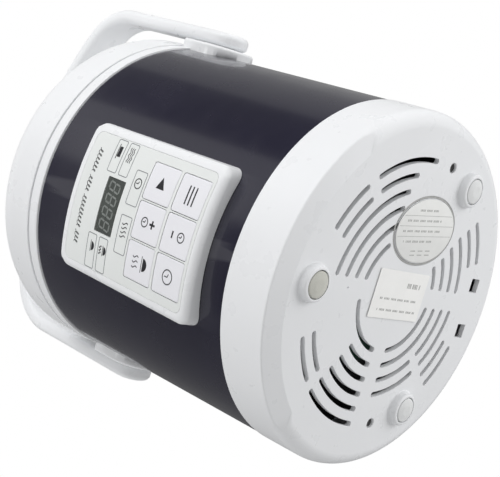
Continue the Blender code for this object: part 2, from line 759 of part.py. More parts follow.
def panel_face(x, z):
    """Y of the panel's front face: gently curved across, and leaning out towards the bottom."""
    down = (PANEL_TOP - z) / (PANEL_TOP - PANEL_LOW)
    proud = PANEL_PROUD_TOP + (PANEL_PROUD_LOW - PANEL_PROUD_TOP) * down
    return -(BAND_R + proud) + PANEL_FACE_R - math.sqrt(PANEL_FACE_R ** 2 - x * x)


def face_slope():
    return (PANEL_PROUD_LOW - PANEL_PROUD_TOP) / (PANEL_TOP - PANEL_LOW)


def behind_face(depth):
    """A surface that follows the face at this depth behind it."""
    return lambda x, z: panel_face(x, z) + depth


def flat_behind_face(depth):
    """A flat surface that leans as the face does, this deep behind the face's middle line."""
    return lambda x, z: panel_face(0, z) + depth


def band_surface(x, z):
    return -math.sqrt((BAND_R + GAP) ** 2 - x * x)


def panel_slab(bm, low, high, corner, front, back, columns=8):
    """A slab with a round-cornered outline in X and Z, between a front and a back surface."""
    (x0, z0), (x1, z1) = low, high
    turns = 2 if corner else 0
    limits = []
    for i in range(turns):
        angle = math.radians(90 * i / turns)
        inset = corner * (1 - math.cos(angle))
        rise = corner * (1 - math.sin(angle))
        limits.append((inset, rise))
    left = [(x0 + inset, rise) for inset, rise in limits]
    right = [(x1 - inset, rise) for inset, rise in reversed(limits)]
    middle = [(x0 + corner + (x1 - x0 - 2 * corner) * i / columns, 0.0) for i in range(columns + 1)]
    rings = []
    for x, rise in left + middle + right:
        low_z, high_z = z0 + rise, z1 - rise
        corners = ((front(x, low_z), low_z), (front(x, high_z), high_z),
                   (back(x, high_z), high_z), (back(x, low_z), low_z))
        rings.append([bm.verts.new((x, y, z)) for y, z in corners])
    for ring, following in zip(rings, rings[1:]):
        for i in range(4):
            j = (i + 1) % 4
            bm.faces.new((ring[i], ring[j], following[j], following[i]))
    bm.faces.new(rings[0])
    bm.faces.new(rings[-1])
    return bm


def far(y):
    return lambda x, z: y


def make_panel_housing():
    """The white frame that carries the film, the keys and the control board."""
    flange = panel_slab(bmesh.new(), (-PANEL_HALF, PANEL_LOW), (PANEL_HALF, PANEL_TOP), PANEL_CORNER,
                        behind_face(0), band_surface, columns=12)
    housing = solid("panel_housing", flange, "white_abs")
    plug = panel_slab(bmesh.new(), (-PLUG_HALF, PLUG_LOW), (PLUG_HALF, PLUG_TOP), 0.004,
                      lambda x, z: band_surface(x, z) - 0.0005, far(-0.0865), columns=10)
    recess = panel_slab(bmesh.new(), (-FILM_HALF - GAP, FILM_LOW - GAP), (FILM_HALF + GAP, FILM_TOP + GAP),
                        0.004, far(-0.120), behind_face(FLOOR_FRONT), columns=10)
    tray = panel_slab(bmesh.new(), (-PLUG_HALF + 0.002, PLUG_LOW + 0.003),
                      (PLUG_HALF - 0.002, PLUG_TOP - 0.003), 0.002, behind_face(FLOOR_BACK), far(-0.080),
                      columns=10)
    floor_holes = bmesh.new()
    low, high = DISPLAY_LOW, DISPLAY_HIGH
    panel_slab(floor_holes, (low[0] + 0.001, low[1] + 0.001), (high[0] - 0.001, high[1] - 0.001), 0,
               far(-0.110), flat_behind_face(0.008), columns=2)
    for x, z in LIGHT_SPOTS:
        rod(floor_holes, 0.0013, (x, -0.110, z), (x, panel_face(0, z) + 0.008, z), steps=6)
    for x, z in key_places():
        start, end = stem_ends(x, z)
        rod(floor_holes, 0.0021, start, end + (end - start).normalized() * 0.002, steps=8)
    join(housing, helper("panel_plug", plug))
    cut(housing, helper("film_recess", recess), helper("panel_tray", tray),
        helper("panel_holes", floor_holes))


def key_places():
    return [(x, z) for z in KEY_Z for x in KEY_X]


def inward():
    """The direction in which every key travels: square to the leaning face."""
    return Vector((0, 1, -face_slope())).normalized()


def stem_ends(x, z):
    """Ends of a key's stem, from inside its pad to its travel short of the switch behind it."""
    start = Vector((x, panel_face(x, z) + KEY_THICK - 0.0004, z))
    end = Vector((x, panel_face(0, z) + SWITCH_FRONT - KEY_TRAVEL - GAP, z))
    reach = (end.y - start.y)
    return start, start + inward() * reach


def make_panel_overlay():
    film = panel_slab(bmesh.new(), (-FILM_HALF, FILM_LOW), (FILM_HALF, FILM_TOP), 0.004,
                      behind_face(0), behind_face(FILM_THICK), columns=14)
    film = solid("panel_overlay", film, "film")
    windows = bmesh.new()
    for x, z in key_places():
        panel_slab(windows, (x - KEY_HALF_X - GAP, z - KEY_HALF_Z - GAP),
                   (x + KEY_HALF_X + GAP, z + KEY_HALF_Z + GAP), 0.0013, far(-0.112), behind_face(0.006),
                   columns=2)
    low, high = DISPLAY_LOW, DISPLAY_HIGH
    panel_slab(windows, (low[0] - GAP, low[1] - GAP), (high[0] + GAP, high[1] + GAP), 0,
               far(-0.112), behind_face(0.006), columns=4)
    cut(film, helper("film_windows", windows))


def make_display():
    low, high = DISPLAY_LOW, DISPLAY_HIGH
    window = panel_slab(bmesh.new(), low, high, 0, behind_face(0.0001), behind_face(FILM_THICK), columns=4)
    solid("display_window", window, "smoked_window")
    module = panel_slab(bmesh.new(), (low[0] + 0.0015, low[1] + 0.0015),
                        (high[0] - 0.0015, high[1] - 0.0015), 0, flat_behind_face(0.0032),
                        flat_behind_face(PCB_FRONT - GAP), columns=1)
    solid("led_display", module, "black_plastic")


def make_control_board():
    """The board behind the panel, with its six switches and six lights soldered on."""
    board = panel_slab(bmesh.new(), (-0.0310, 0.0610), (0.0310, 0.1450), 0,
                       flat_behind_face(PCB_FRONT), flat_behind_face(PCB_FRONT + 0.0012), columns=1)
    board = solid("control_board", board, "circuit_board")
    soldered = bmesh.new()
    lights = [(x, z, 0.0012, 0.0008, LIGHT_FRONT) for x, z in LIGHT_SPOTS]
    switches = [(x, z, 0.003, 0.003, SWITCH_FRONT) for x, z in key_places()]
    for x, z, half_x, half_z, depth in lights + switches:
        panel_slab(soldered, (x - half_x, z - half_z), (x + half_x, z + half_z), 0,
                   flat_behind_face(depth), flat_behind_face(PCB_FRONT + 0.0005), columns=1)
    join(board, helper("soldered_parts", soldered))


def make_panel_cable():
    """The flat cable from the control board down to the power board."""
    route = [(0, -0.0858, 0.0720), (0, -0.0852, 0.0640), (0, -0.0850, 0.0520), (0, -0.0850, 0.0400),
             (0, -0.0790, 0.0320), (0, -0.0620, 0.0300), (0, -0.0460, 0.0310), (0, -0.0370, 0.0290),
             (0, -0.0350, 0.0268)]
    bm = swept_strip(bmesh.new(), smooth_route(route, 14), (1, 0, 0), 0.006, 0.0005, 0)
    solid("panel_cable", bm, "grey_label")


def make_keys():
    """Six keys; each slides on its own axis, which starts at its middle."""
    places = key_places()
    names = [name for row in KEY_NAMES for name in row]
    for name, (x, z) in zip(names, places):
        pad = panel_slab(bmesh.new(), (x - KEY_HALF_X, z - KEY_HALF_Z), (x + KEY_HALF_X, z + KEY_HALF_Z),
                         0.0010, behind_face(0), behind_face(KEY_THICK), columns=3)
        key = solid(name, pad, "film")
        start, end = stem_ends(x, z)
        join(key, helper(name + "_stem", rod(bmesh.new(), 0.0015, start, end, steps=8)))
        hang(key, empty(name + "_axis", (x, panel_face(x, z), z)))


# ---------------------------------------------------------------- lid
def dome_radius():
    rise = LID_TOP - (LID_WALL_TOP + LID_SHOULDER)
    flat = LID_R - LID_SHOULDER
    return (flat ** 2 + rise ** 2) / (2 * rise)


def dome_z(radius, inset=0.0):
    """Height of the lid's crown at this distance from its axis."""
    curve = dome_radius()
    return LID_TOP - curve + math.sqrt((curve - inset) ** 2 - radius ** 2)


def lid_outline(inset, low, bends=4):
    """Half outline of the lid from its rim to the axis, moved inwards by inset."""
    centre = (LID_R - LID_SHOULDER, LID_WALL_TOP)
    points = [(LID_R - inset, low)]
    points += arc(centre, LID_SHOULDER - inset, 0, 88, bends)
    crown = [centre[0] * (1 - i / 3) for i in range(1, 4)]
    points += [(max(r, 0.0), dome_z(r, inset)) for r in crown]
    return points


def make_lid_shell(marker):
    low = SEAM_Z + 0.0003
    outer = lid_outline(0.0, low)
    inner = lid_outline(0.0026, low, bends=3)
    shell = turned_solid("lid_shell", list(reversed(outer)) + inner, "white_abs")
    knuckle = rod(bmesh.new(), KNUCKLE_R, (-0.012, HINGE_Y, HINGE_Z), (0.012, HINGE_Y, HINGE_Z), steps=24)
    web = block(bmesh.new(), (-0.0118, 0.0941, HINGE_Z + 0.001), (0.0118, HINGE_Y + 0.002, HINGE_Z + 0.0085))
    join(shell, helper("lid_knuckle", knuckle), helper("lid_hinge_web", web))
    removed = bmesh.new()
    rod(removed, PIN_R + GAP, (-0.0121, HINGE_Y, HINGE_Z), (0.0121, HINGE_Y, HINGE_Z), steps=14)
    for side in (-1, 1):
        x0, x1 = sorted((side * 0.0122, side * 0.0262))
        block(removed, (x0, 0.088, 0.190), (x1, 0.110, 0.2015))
    rod(removed, 0.0130, (0, STEAM_Y, 0.225), (0, STEAM_Y, 0.245), steps=24)
    button_hole = prism(bmesh.new(), button_outline(GAP), 0.222, 0.245)
    cut(shell, helper("lid_bores", removed), helper("button_hole", button_hole))
    hang(shell, marker)


def button_outline(grow=0.0):
    return rounded_outline((-0.017 - grow, BUTTON_Y - 0.009 - grow), (0.017 + grow, BUTTON_Y + 0.009 + grow),
                           0.0080 + grow, steps=4)


def make_lid_inner_cover(marker):
    """The moulding that closes the lid from below and guides the button and the latch."""
    low, high = SEAM_Z + 0.0003, SEAM_Z + 0.0028
    disc = [(0, low), (0.0915, low), (0.0915, high), (0, high)]
    cover = turned_solid("lid_inner_cover", disc, "white_abs")
    bridge = block(bmesh.new(), (-0.0110, -0.074, high - 0.0005), (0.0110, -0.058, 0.2060))
    stop = block(bmesh.new(), (-0.005, -0.0480, high - 0.0005), (0.005, -0.0450, 0.2030))
    join(cover, helper("button_bridge", bridge), helper("latch_stop", stop))
    removed = bmesh.new()
    block(removed, (-0.0085, -0.080, high), (0.0085, -0.054, 0.2035))
    holes = bmesh.new()
    rod(holes, 0.0084, (0, STEAM_Y, 0.190), (0, STEAM_Y, 0.200), steps=24)
    rod(holes, 0.0034, (0, BUTTON_Y, 0.2030), (0, BUTTON_Y, 0.210), steps=16)
    rod(holes, 0.0033, (0, 0, 0.190), (0, 0, 0.200), steps=16)
    block(holes, (-0.0078, -0.0935, 0.190), (0.0078, -0.0850, 0.200))
    block(holes, (-0.0262, 0.0885, 0.190), (0.0262, 0.095, 0.200))
    cut(cover, helper("bridge_tunnel", removed), helper("cover_holes", holes))
    hang(cover, marker)


def make_lid_lining(marker):
    """The metal plate over the pot, its silicone seal and the plug that holds it."""
    top = SEAM_Z - 0.0012
    disc = [(0, top - 0.001), (0.0792, top - 0.001), (0.0792, top), (0, top)]
    plate = turned_solid("lid_liner_plate", disc, "aluminium")
    holes = bmesh.new()
    rod(holes, 0.0033, (0, 0, 0.188), (0, 0, 0.198), steps=16)
    rod(holes, 0.0084, (0, STEAM_Y, 0.188), (0, STEAM_Y, 0.198), steps=24)
    hang(cut(plate, helper("plate_holes", holes)), marker)
    low = POT_RIM_Z + 0.0012 + GAP
    seal = [(0.0795, low + 0.0008), (0.0803, low), (0.0838, low), (0.0845, low + 0.0008),
            (0.0845, SEAM_Z - GAP), (0.0795, SEAM_Z - GAP)]
    hang(turned_solid("lid_gasket", seal, "silicone"), marker)
    plug = [(0, 0.1890), (0.0060, 0.1890), (0.0070, 0.1898), (0.0070, 0.1915), (0.0030, 0.1915),
            (0.0030, 0.1972), (0.0050, 0.1972), (0.0040, 0.2000), (0, 0.2000)]
    hang(turned_solid("liner_grommet", plug, "silicone", steps=16), marker)


def make_steam_vent(marker):
    """The steam tube through the lid and the slotted cap on top of it."""
    inner, outer = 0.0062, 0.0080
    tube = [(inner, 0.1905), (outer, 0.1905), (outer, 0.2280), (inner, 0.2280)]
    hang(turned_solid("steam_tube", tube, "silicone", steps=24, centre=(0, STEAM_Y, 0)), marker)
    low = 0.2371
    cap = [(0.0098, 0.2290), (0.0126, 0.2290), (0.0126, low), (0.0170, low), (0.0170, low + 0.0012),
           (0.0160, low + 0.0022), (0, low + 0.0022), (0, low), (0.0098, low)]
    body = turned(bmesh.new(), [(0, low)] + [(0.0098, low)] + cap[:7], steps=24, centre=(0, STEAM_Y, 0))
    body = solid("steam_cap", body, "white_abs")
    slots = bmesh.new()
    for i in range(3):
        x = (i - 1) * 0.0045
        block(slots, (x - 0.001, STEAM_Y - 0.006, 0.230), (x + 0.001, STEAM_Y + 0.006, 0.245))
    hang(cut(body, helper("steam_slots", slots)), marker)


def make_hinge_pin():
    turned_solid("hinge_pin", [(0, -0.0248), (PIN_R, -0.0248), (PIN_R, 0.0248), (0, 0.0248)], "steel",
                 steps=16, centre=(0, HINGE_Y, HINGE_Z), axis=(1, 0, 0))


def make_lid_button(marker, lid_marker):
    """The push button in the lid's front, with its stem and return spring."""
    top = dome_z(abs(BUTTON_Y)) + 0.0016
    button = solid("lid_button", prism(bmesh.new(), button_outline(), 0.2270, top), "white_abs")
    stem = rod(bmesh.new(), 0.0030, (0, BUTTON_Y, 0.2030), (0, BUTTON_Y, 0.2275))
    join(button, helper("button_stem", stem))
    hang(button, marker)
    spring = coil_spring("button_spring", (0, BUTTON_Y, 0.2068), (0, 0, 1), 0.0195, 0.0045, 0.0004, 6)
    hang(spring, lid_marker)


def make_lid_latch(marker, lid_marker):
    """The sliding latch: a bar under the button and a leg that hooks into the upper ring."""
    outline = [
        (-0.0540, 0.1972), (-0.0540, 0.2000), (-0.0895, 0.2000), (-0.0895, 0.1905), (-0.0905, 0.1900),
        (-0.0905, 0.1885), (-0.0895, 0.1875), (-0.0873, 0.1875), (-0.0873, 0.1972),
    ]
    latch = solid("lid_latch", prism(bmesh.new(), outline, -0.007, 0.007, along_x), "white_abs")
    hang(latch, marker)
    spring = coil_spring("latch_spring", (0, -0.0534, 0.1990), (0, 1, 0), 0.0048, 0.0014, 0.0003, 4)
    hang(spring, lid_marker)


# ---------------------------------------------------------------- bail handle
def bail_path():
    """Middle line of the bail, from the left pivot over the crown to the right one."""
    mid = ARM_OUT - ARM_THICK / 2
    crown = CROWN_R - ARM_THICK / 2
    corner = CORNER_R - ARM_THICK / 2
    crown_z = BAIL_TOP - CROWN_R
    across = ARM_OUT - CORNER_R
    reach = CROWN_R - CORNER_R
    corner_z = crown_z + math.sqrt(reach ** 2 - across ** 2)
    lean = math.degrees(math.acos(across / reach))
    half = [(mid, PIVOT_Z), (mid, PIVOT_Z + 0.030), (mid, corner_z - 0.020)]
    half += arc((across, corner_z), corner, 0, lean, 5)
    half += arc((0, crown_z), crown, lean, 90, 5)[1:]
    left = [Vector((-x, 0, z)) for x, z in half]
    right = [Vector((x, 0, z)) for x, z in reversed(half[:-1])]
    return left + right


def make_bail(marker):
    arch = swept_strip(bmesh.new(), bail_path(), (0, 1, 0), ARM_HALF, ARM_THICK / 2, 0.002)
    bail = solid("bail_handle", arch, "white_abs")
    inner = ARM_OUT - ARM_THICK
    rounds = bmesh.new()
    bores = bmesh.new()
    for side in (-1, 1):
        profile = [(0, 0), (ARM_HALF, 0), (ARM_HALF, ARM_THICK - 0.002), (ARM_HALF - 0.002, ARM_THICK),
                   (0, ARM_THICK)]
        turned(rounds, profile, steps=32, centre=(side * inner, 0, PIVOT_Z), axis=(side, 0, 0))
        rod(bores, BUSH_R + GAP, (side * (inner - 0.005), 0, PIVOT_Z), (side * 0.1063, 0, PIVOT_Z),
            steps=24)
    join(bail, helper("bail_ends", rounds))
    cut(bail, helper("bail_bores", bores))
    hang(bail, marker)


def make_bushes(marker):
    """The flanged bushes that the bail turns on, one through each ear."""
    for name, side in (("handle_bush_left", -1), ("handle_bush_right", 1)):
        profile = [(0, 0.0880), (0.0085, 0.0880), (0.0085, 0.0900), (BUSH_R, 0.0900), (BUSH_R, 0.1052),
                   (BUSH_R - 0.0008, 0.1060), (0, 0.1060)]
        bush = turned_solid(name, profile, "black_plastic", steps=24, centre=(0, 0, PIVOT_Z),
                            axis=(side, 0, 0))
        hang(bush, marker)


# ---------------------------------------------------------------- the assembly
def main():
    clear_scene()
    make_base_cover()
    make_feet()
    make_base_screws()
    make_labels()
    make_support_frame()
    make_power_inlet()
    make_power_board()
    make_internal_leads()
    make_inner_liner()
    make_heating_plate()
    make_heating_element()
    make_sensor_group(empty("sensor_axis", (0, 0, POT_LOW)))
    make_thermal_fuse()
    make_inner_pot()
    make_outer_band()
    make_upper_ring()
    make_panel_housing()
    make_panel_overlay()
    make_display()
    make_control_board()
    make_panel_cable()
    make_keys()
    make_hinge_pin()
    lid_axis = empty("lid_axis", (0, HINGE_Y, HINGE_Z))
    button_axis = empty("lid_button_axis", (0, BUTTON_Y, LID_TOP), lid_axis)
    latch_axis = empty("latch_axis", (0, -0.0873, SEAM_Z), lid_axis)
    make_lid_shell(lid_axis)
    make_lid_inner_cover(lid_axis)
    make_lid_lining(lid_axis)
    make_steam_vent(lid_axis)
    make_lid_button(button_axis, lid_axis)
    make_lid_latch(latch_axis, lid_axis)
    bush_axis = empty("handle_bush_axis", (0, 0, PIVOT_Z))
    make_bushes(bush_axis)
    make_bail(empty("bail_axis", (0, 0, PIVOT_Z), bush_axis))


main()
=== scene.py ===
"""Looks of the small electric rice cooker: fine shells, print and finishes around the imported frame.

Metres, +Z up, the control panel faces -Y and +X is on the right seen from the front.
"""

import json
import math

import bmesh
import bpy
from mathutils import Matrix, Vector


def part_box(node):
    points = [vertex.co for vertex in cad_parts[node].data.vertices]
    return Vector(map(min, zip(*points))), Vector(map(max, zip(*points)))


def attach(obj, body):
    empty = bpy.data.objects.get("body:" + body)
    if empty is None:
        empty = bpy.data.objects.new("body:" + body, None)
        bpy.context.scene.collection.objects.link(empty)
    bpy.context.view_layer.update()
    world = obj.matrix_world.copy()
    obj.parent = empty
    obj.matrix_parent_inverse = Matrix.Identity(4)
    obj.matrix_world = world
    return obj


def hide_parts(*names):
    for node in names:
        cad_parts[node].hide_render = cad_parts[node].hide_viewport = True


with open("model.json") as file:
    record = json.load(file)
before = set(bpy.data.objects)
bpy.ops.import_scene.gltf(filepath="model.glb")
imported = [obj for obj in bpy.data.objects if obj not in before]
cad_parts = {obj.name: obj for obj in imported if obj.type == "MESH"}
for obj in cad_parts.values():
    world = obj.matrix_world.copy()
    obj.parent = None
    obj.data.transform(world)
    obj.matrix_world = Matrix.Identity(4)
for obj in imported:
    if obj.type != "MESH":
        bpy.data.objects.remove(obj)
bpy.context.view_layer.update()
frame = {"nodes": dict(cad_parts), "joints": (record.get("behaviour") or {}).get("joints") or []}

# ---- sizes read from the frame
BAND_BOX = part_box("outer_band")
BASE_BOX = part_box("base_cover")
LID_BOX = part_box("lid_shell")
BAIL_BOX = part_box("bail_handle")
FILM_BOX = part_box("panel_overlay")
HOUSING_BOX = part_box("panel_housing")
DISPLAY_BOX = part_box("display_window")
BUTTON_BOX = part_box("lid_button")
CAP_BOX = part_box("steam_cap")
POT_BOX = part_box("inner_pot")
INLET_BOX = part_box("power_inlet")
PLATE_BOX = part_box("rating_plate")
LABEL_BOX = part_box("base_label")
FOOT_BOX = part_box("foot_pad_front")
JOINTS = {joint["name"]: joint for joint in frame["joints"]}

GAP = 0.0003

BAND_R = BAND_BOX[1].x
BAND_LOW, BAND_TOP = BAND_BOX[0].z, BAND_BOX[1].z
BAND_THICK = 0.001
SKIN_R = BASE_BOX[1].x
RING_R = 0.096
LID_R = LID_BOX[1].x
LID_TOP = LID_BOX[1].z
SEAM_Z = JOINTS["lid_hinge"]["pos_m"][2]
HINGE_Y = JOINTS["lid_hinge"]["pos_m"][1]
PIVOT_Z = JOINTS["bail_fold"]["pos_m"][2]
FLOOR_Z = 0.005               # the base cover's underside
KNUCKLE = (HINGE_Y, SEAM_Z)
KNUCKLE_R = 0.0055
PIN_BORE_R = 0.0023
BUSH_BORE_R = 0.0063
STEAM_HOLE_R = 0.0084
GROMMET_HOLE_R = 0.0033
FOOT_RADIUS = -(FOOT_BOX[0].y + FOOT_BOX[1].y) / 2
FOOT_ANGLES = (0, 120, -120)
ROUND = 192                   # steps round the large shells
SHARP_ANGLE = math.radians(32)


# ---- finishes
def feed(tree, socket, value):
    """Sets an input, or links it when the value is another node's output."""
    if isinstance(value, bpy.types.NodeSocket):
        tree.links.new(value, socket)
    else:
        socket.default_value = value


def node(tree, kind, *values, **named):
    """A shader node, with its first inputs in order and others by name."""
    made = tree.nodes.new("ShaderNode" + kind)
    for socket, value in zip(made.inputs, values):
        feed(tree, socket, value)
    for name, value in named.items():
        feed(tree, made.inputs[name.replace("_", " ")], value)
    return made


def ramp(tree, source, low, high, dark, light):
    """Maps a noise value between two limits onto two others."""
    return node(tree, "MapRange", source, low, high, dark, light).outputs["Result"]


def blended(tree, factor, first, second):
    """Mixes two colours; either may be a socket."""
    mixed = tree.nodes.new("ShaderNodeMix")
    mixed.data_type = "RGBA"
    feed(tree, mixed.inputs["Factor"], factor)
    for value, slot in ((first, "A"), (second, "B")):
        socket = next(s for s in mixed.inputs if s.name == slot and s.type == "RGBA")
        feed(tree, socket, (*value, 1.0) if isinstance(value, tuple) else value)
    return next(s for s in mixed.outputs if s.type == "RGBA")


def shade(colour, amount):
    return tuple(min(1.0, max(0.0, c * amount)) for c in colour)


def surface(name, colour, roughness, metallic=0.0, coat=0.0, cloud=0.04, cloud_scale=30.0, grain=900.0,
            bump=0.03, spread=0.06, worn=0.0, stretch=(1, 1, 1), speck=0.0, specular=0.5):
    """A finish with slow colour clouds, uneven gloss, fine surface grain, rubbed edges and faint specks."""
    made = bpy.data.materials.new(name)
    made.use_nodes = True
    tree = made.node_tree
    place = node(tree, "Mapping", Vector=node(tree, "TexCoord").outputs["Object"], Scale=stretch).outputs[0]

    def noise(scale, **settings):
        return node(tree, "TexNoise", Vector=place, Scale=scale, **settings).outputs["Fac"]

    colours = blended(tree, ramp(tree, noise(cloud_scale, Detail=4.0, Roughness=0.55), 0.3, 0.7, 0.0, 1.0),
                      shade(colour, 1 - cloud), shade(colour, 1 + cloud))
    if speck:
        specks = ramp(tree, noise(grain * 0.6, Detail=2.0), 0.66, 0.74, 0.0, speck)
        colours = blended(tree, specks, colours, shade(colour, 0.45))
    if worn:
        edges = ramp(tree, node(tree, "NewGeometry").outputs["Pointiness"], 0.53, 0.62, 0.0, worn)
        colours = blended(tree, edges, colours, tuple(min(1.0, c + 0.12) for c in colour))
    gloss = ramp(tree, noise(cloud_scale * 4, Detail=3.0), 0.3, 0.7, max(0.02, roughness - spread),
                 roughness + spread)
    relief = node(tree, "Bump", Strength=bump, Distance=0.0004, Height=noise(grain, Detail=3.0))
    settings = {"Metallic": metallic, "Coat Weight": coat, "Coat Roughness": 0.06,
                "Specular IOR Level": specular, "Base Color": colours, "Roughness": gloss,
                "Normal": relief.outputs["Normal"]}
    for entry, value in settings.items():
        feed(tree, tree.nodes["Principled BSDF"].inputs[entry], value)
    return made


def make_finishes():
    """Every finish by name, with the settings that differ from the usual ones."""
    finishes = {}

    def add(name, *values, **settings):
        finishes[name] = surface(name, *values, **settings)

    wire = {"cloud_scale": 60.0, "grain": 1500.0, "bump": 0.05}
    add("white_abs", (0.82, 0.83, 0.845), 0.30, cloud=0.012, cloud_scale=22.0, grain=700.0, bump=0.02,
        spread=0.04, worn=0.12, speck=0.015)
    add("band_paint", (0.012, 0.011, 0.026), 0.24, coat=0.55, cloud=0.10, cloud_scale=16.0, grain=260.0,
        bump=0.012, spread=0.05, worn=0.35, specular=0.6)
    add("panel_film", (0.755, 0.775, 0.765), 0.38, cloud=0.012, cloud_scale=40.0, grain=2600.0, bump=0.05,
        spread=0.05, worn=0.1, speck=0.04)
    add("key_film", (0.80, 0.80, 0.835), 0.36, cloud=0.012, cloud_scale=60.0, grain=2600.0, bump=0.05,
        worn=0.15, speck=0.04)
    add("ink_dark", (0.020, 0.020, 0.024), 0.5, cloud=0.2, cloud_scale=300.0, grain=3000.0)
    add("ink_line", (0.21, 0.22, 0.235), 0.5, cloud=0.08, cloud_scale=300.0, grain=3000.0)
    # pale grey for the printed marks, and also painted shade: the grey ring laid in the groove round the
    # rating plate
    add("pale_ink_and_painted_shade", (0.42, 0.42, 0.41), 0.5, cloud=0.15, cloud_scale=400.0, grain=3000.0)
    add("smoked_window", (0.062, 0.070, 0.064), 0.24, cloud=0.12, cloud_scale=90.0, bump=0.02,
        specular=0.6)
    add("segment_grey", (0.20, 0.215, 0.205), 0.35, cloud=0.1, cloud_scale=200.0)
    add("foot_rubber", (0.56, 0.56, 0.51), 0.78, cloud=0.06, cloud_scale=120.0, grain=1600.0, bump=0.25,
        spread=0.08, worn=0.3, speck=0.2)
    # a paler copy of the foot rubber: painted highlight on the two side foot pads, which are the same rubber
    # as the front one
    add("foot_rubber_painted_highlight", (0.74, 0.75, 0.75), 0.6, cloud_scale=120.0, grain=1600.0, bump=0.2, spread=0.08,
        worn=0.3, speck=0.1)
    add("silicone", (0.70, 0.71, 0.69), 0.5, cloud_scale=60.0, grain=800.0, bump=0.06, spread=0.08)
    add("bright_steel", (0.62, 0.62, 0.61), 0.28, metallic=1.0, cloud=0.06, cloud_scale=40.0, bump=0.08,
        spread=0.08, worn=0.2, stretch=(1, 1, 8))
    add("dark_steel", (0.13, 0.13, 0.13), 0.42, metallic=1.0, cloud=0.12, cloud_scale=60.0, bump=0.1,
        spread=0.1)
    add("bare_aluminium", (0.74, 0.74, 0.75), 0.36, metallic=1.0, cloud=0.05, grain=700.0, bump=0.08,
        spread=0.08, stretch=(1, 1, 6))
    add("pot_coating", (0.045, 0.045, 0.050), 0.42, cloud=0.12, cloud_scale=40.0, grain=1800.0, bump=0.12,
        spread=0.08, worn=0.3, speck=0.5)
    add("pin_brass", (0.68, 0.50, 0.22), 0.26, metallic=1.0, cloud=0.08, grain=1200.0, bump=0.05)
    add("circuit_board", (0.010, 0.055, 0.030), 0.45, cloud=0.15, cloud_scale=180.0, grain=1400.0, bump=0.1,
        spread=0.1)
    add("black_plastic", (0.022, 0.022, 0.024), 0.45, cloud=0.1, cloud_scale=60.0, grain=1800.0, bump=0.15,
        spread=0.08, worn=0.2)
    add("display_module", (0.030, 0.030, 0.032), 0.35, cloud=0.1, grain=1500.0)
    add("label_plate", (0.82, 0.825, 0.81), 0.36, cloud=0.03, cloud_scale=90.0, grain=1500.0, bump=0.06,
        spread=0.08, speck=0.1)
    add("label_paper", (0.90, 0.90, 0.885), 0.62, cloud=0.02, cloud_scale=90.0, grain=2600.0, bump=0.15,
        spread=0.05, speck=0.1)
    add("wire_red", (0.50, 0.035, 0.025), 0.45, cloud=0.08, **wire)
    add("wire_white", (0.70, 0.70, 0.68), 0.45, cloud=0.05, **wire)
    return finishes


FINISH = make_finishes()


# ---- mesh helpers
def piece(name, bm, finish, body, replaces=()):
    """A finished piece of the visual model: its mesh, finish, body and the CAD nodes it stands for."""
    obj = raw(name, bm)
    dress(obj, finish, body, replaces)
    return obj


def placed(name, data):
    obj = bpy.data.objects.new(name, data)
    bpy.context.scene.collection.objects.link(obj)
    return obj


def raw(name, bm):
    bmesh.ops.remove_doubles(bm, verts=bm.verts, dist=1e-7)
    bmesh.ops.recalc_face_normals(bm, faces=bm.faces)
    mesh = bpy.data.meshes.new(name)
    bm.to_mesh(mesh)
    bm.free()
    mesh.shade_smooth()
    mesh.set_sharp_from_angle(angle=SHARP_ANGLE)
    return placed(name, mesh)


def dress(obj, finish, body, replaces=()):
    obj.data.materials.clear()
    obj.data.materials.append(FINISH[finish])
    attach(obj, body)
    for name in replaces:
        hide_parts(name)


def as_object(shape):
    return raw("helper", shape) if isinstance(shape, bmesh.types.BMesh) else shape


def settle(obj):
    """Puts the modifiers' result in the mesh's place."""
    graph = bpy.context.evaluated_depsgraph_get()
    mesh = bpy.data.meshes.new_from_object(obj.evaluated_get(graph))
    obj.modifiers.clear()
    obj.data = mesh
    return mesh


def carve(obj, adds=(), cuts=()):
    """Joins and cuts a piece by EXACT Booleans with meshes or finished shapes, and evens its normals."""
    steps = [(as_object(shape), "UNION") for shape in adds]
    steps += [(as_object(shape), "DIFFERENCE") for shape in cuts]
    for other, operation in steps:
        modifier = obj.modifiers.new(operation, "BOOLEAN")
        modifier.operation = operation
        modifier.object = other
        modifier.solver = "EXACT"
    mesh = settle(obj)
    for other, _ in steps:
        bpy.data.objects.remove(other, do_unlink=True)
    mesh.shade_smooth()
    mesh.set_sharp_from_angle(angle=SHARP_ANGLE)
    even = obj.modifiers.new("even_normals", "WEIGHTED_NORMAL")
    even.keep_sharp = True
    settle(obj)
    return obj


def softened(corners, steps=4):
    """The closed outline through (u, v, radius) corners, with each corner rounded."""
    points = []
    for i, (u, v, radius) in enumerate(corners):
        here = Vector((u, v))
        if not radius:
            points.append((u, v))
            continue
        before = Vector(corners[i - 1][:2]) - here
        after = Vector(corners[(i + 1) % len(corners)][:2]) - here
        a, b = before.normalized(), after.normalized()
        half = a.angle(b) / 2
        reach = min(radius / math.tan(half), before.length * 0.49, after.length * 0.49)
        centre = here + (a + b).normalized() * (reach / math.cos(half))
        first, last = here + a * reach - centre, here + b * reach - centre
        sweep = math.pi - 2 * half
        for k in range(steps + 1):
            t = k / steps
            mix = (first * math.sin((1 - t) * sweep) + last * math.sin(t * sweep)) / math.sin(sweep)
            points.append(tuple(centre + mix))
    return points


def revolve(bm, profile, steps=ROUND, centre=(0, 0, 0), axis=(0, 0, 1)):
    """Spins a closed outline of (radius, height) points; points on the axis become a single vertex."""
    turn = Vector((0, 0, 1)).rotation_difference(Vector(axis)).to_matrix()
    centre = Vector(centre)
    rings = []
    for radius, height in profile:
        if radius < 1e-9:
            rings.append([bm.verts.new(centre + turn @ Vector((0, 0, height)))])
            continue
        angles = [2 * math.pi * i / steps for i in range(steps)]
        spots = [Vector((radius * math.cos(a), radius * math.sin(a), height)) for a in angles]
        rings.append([bm.verts.new(centre + turn @ spot) for spot in spots])
    return skin(bm, rings, loop=True)


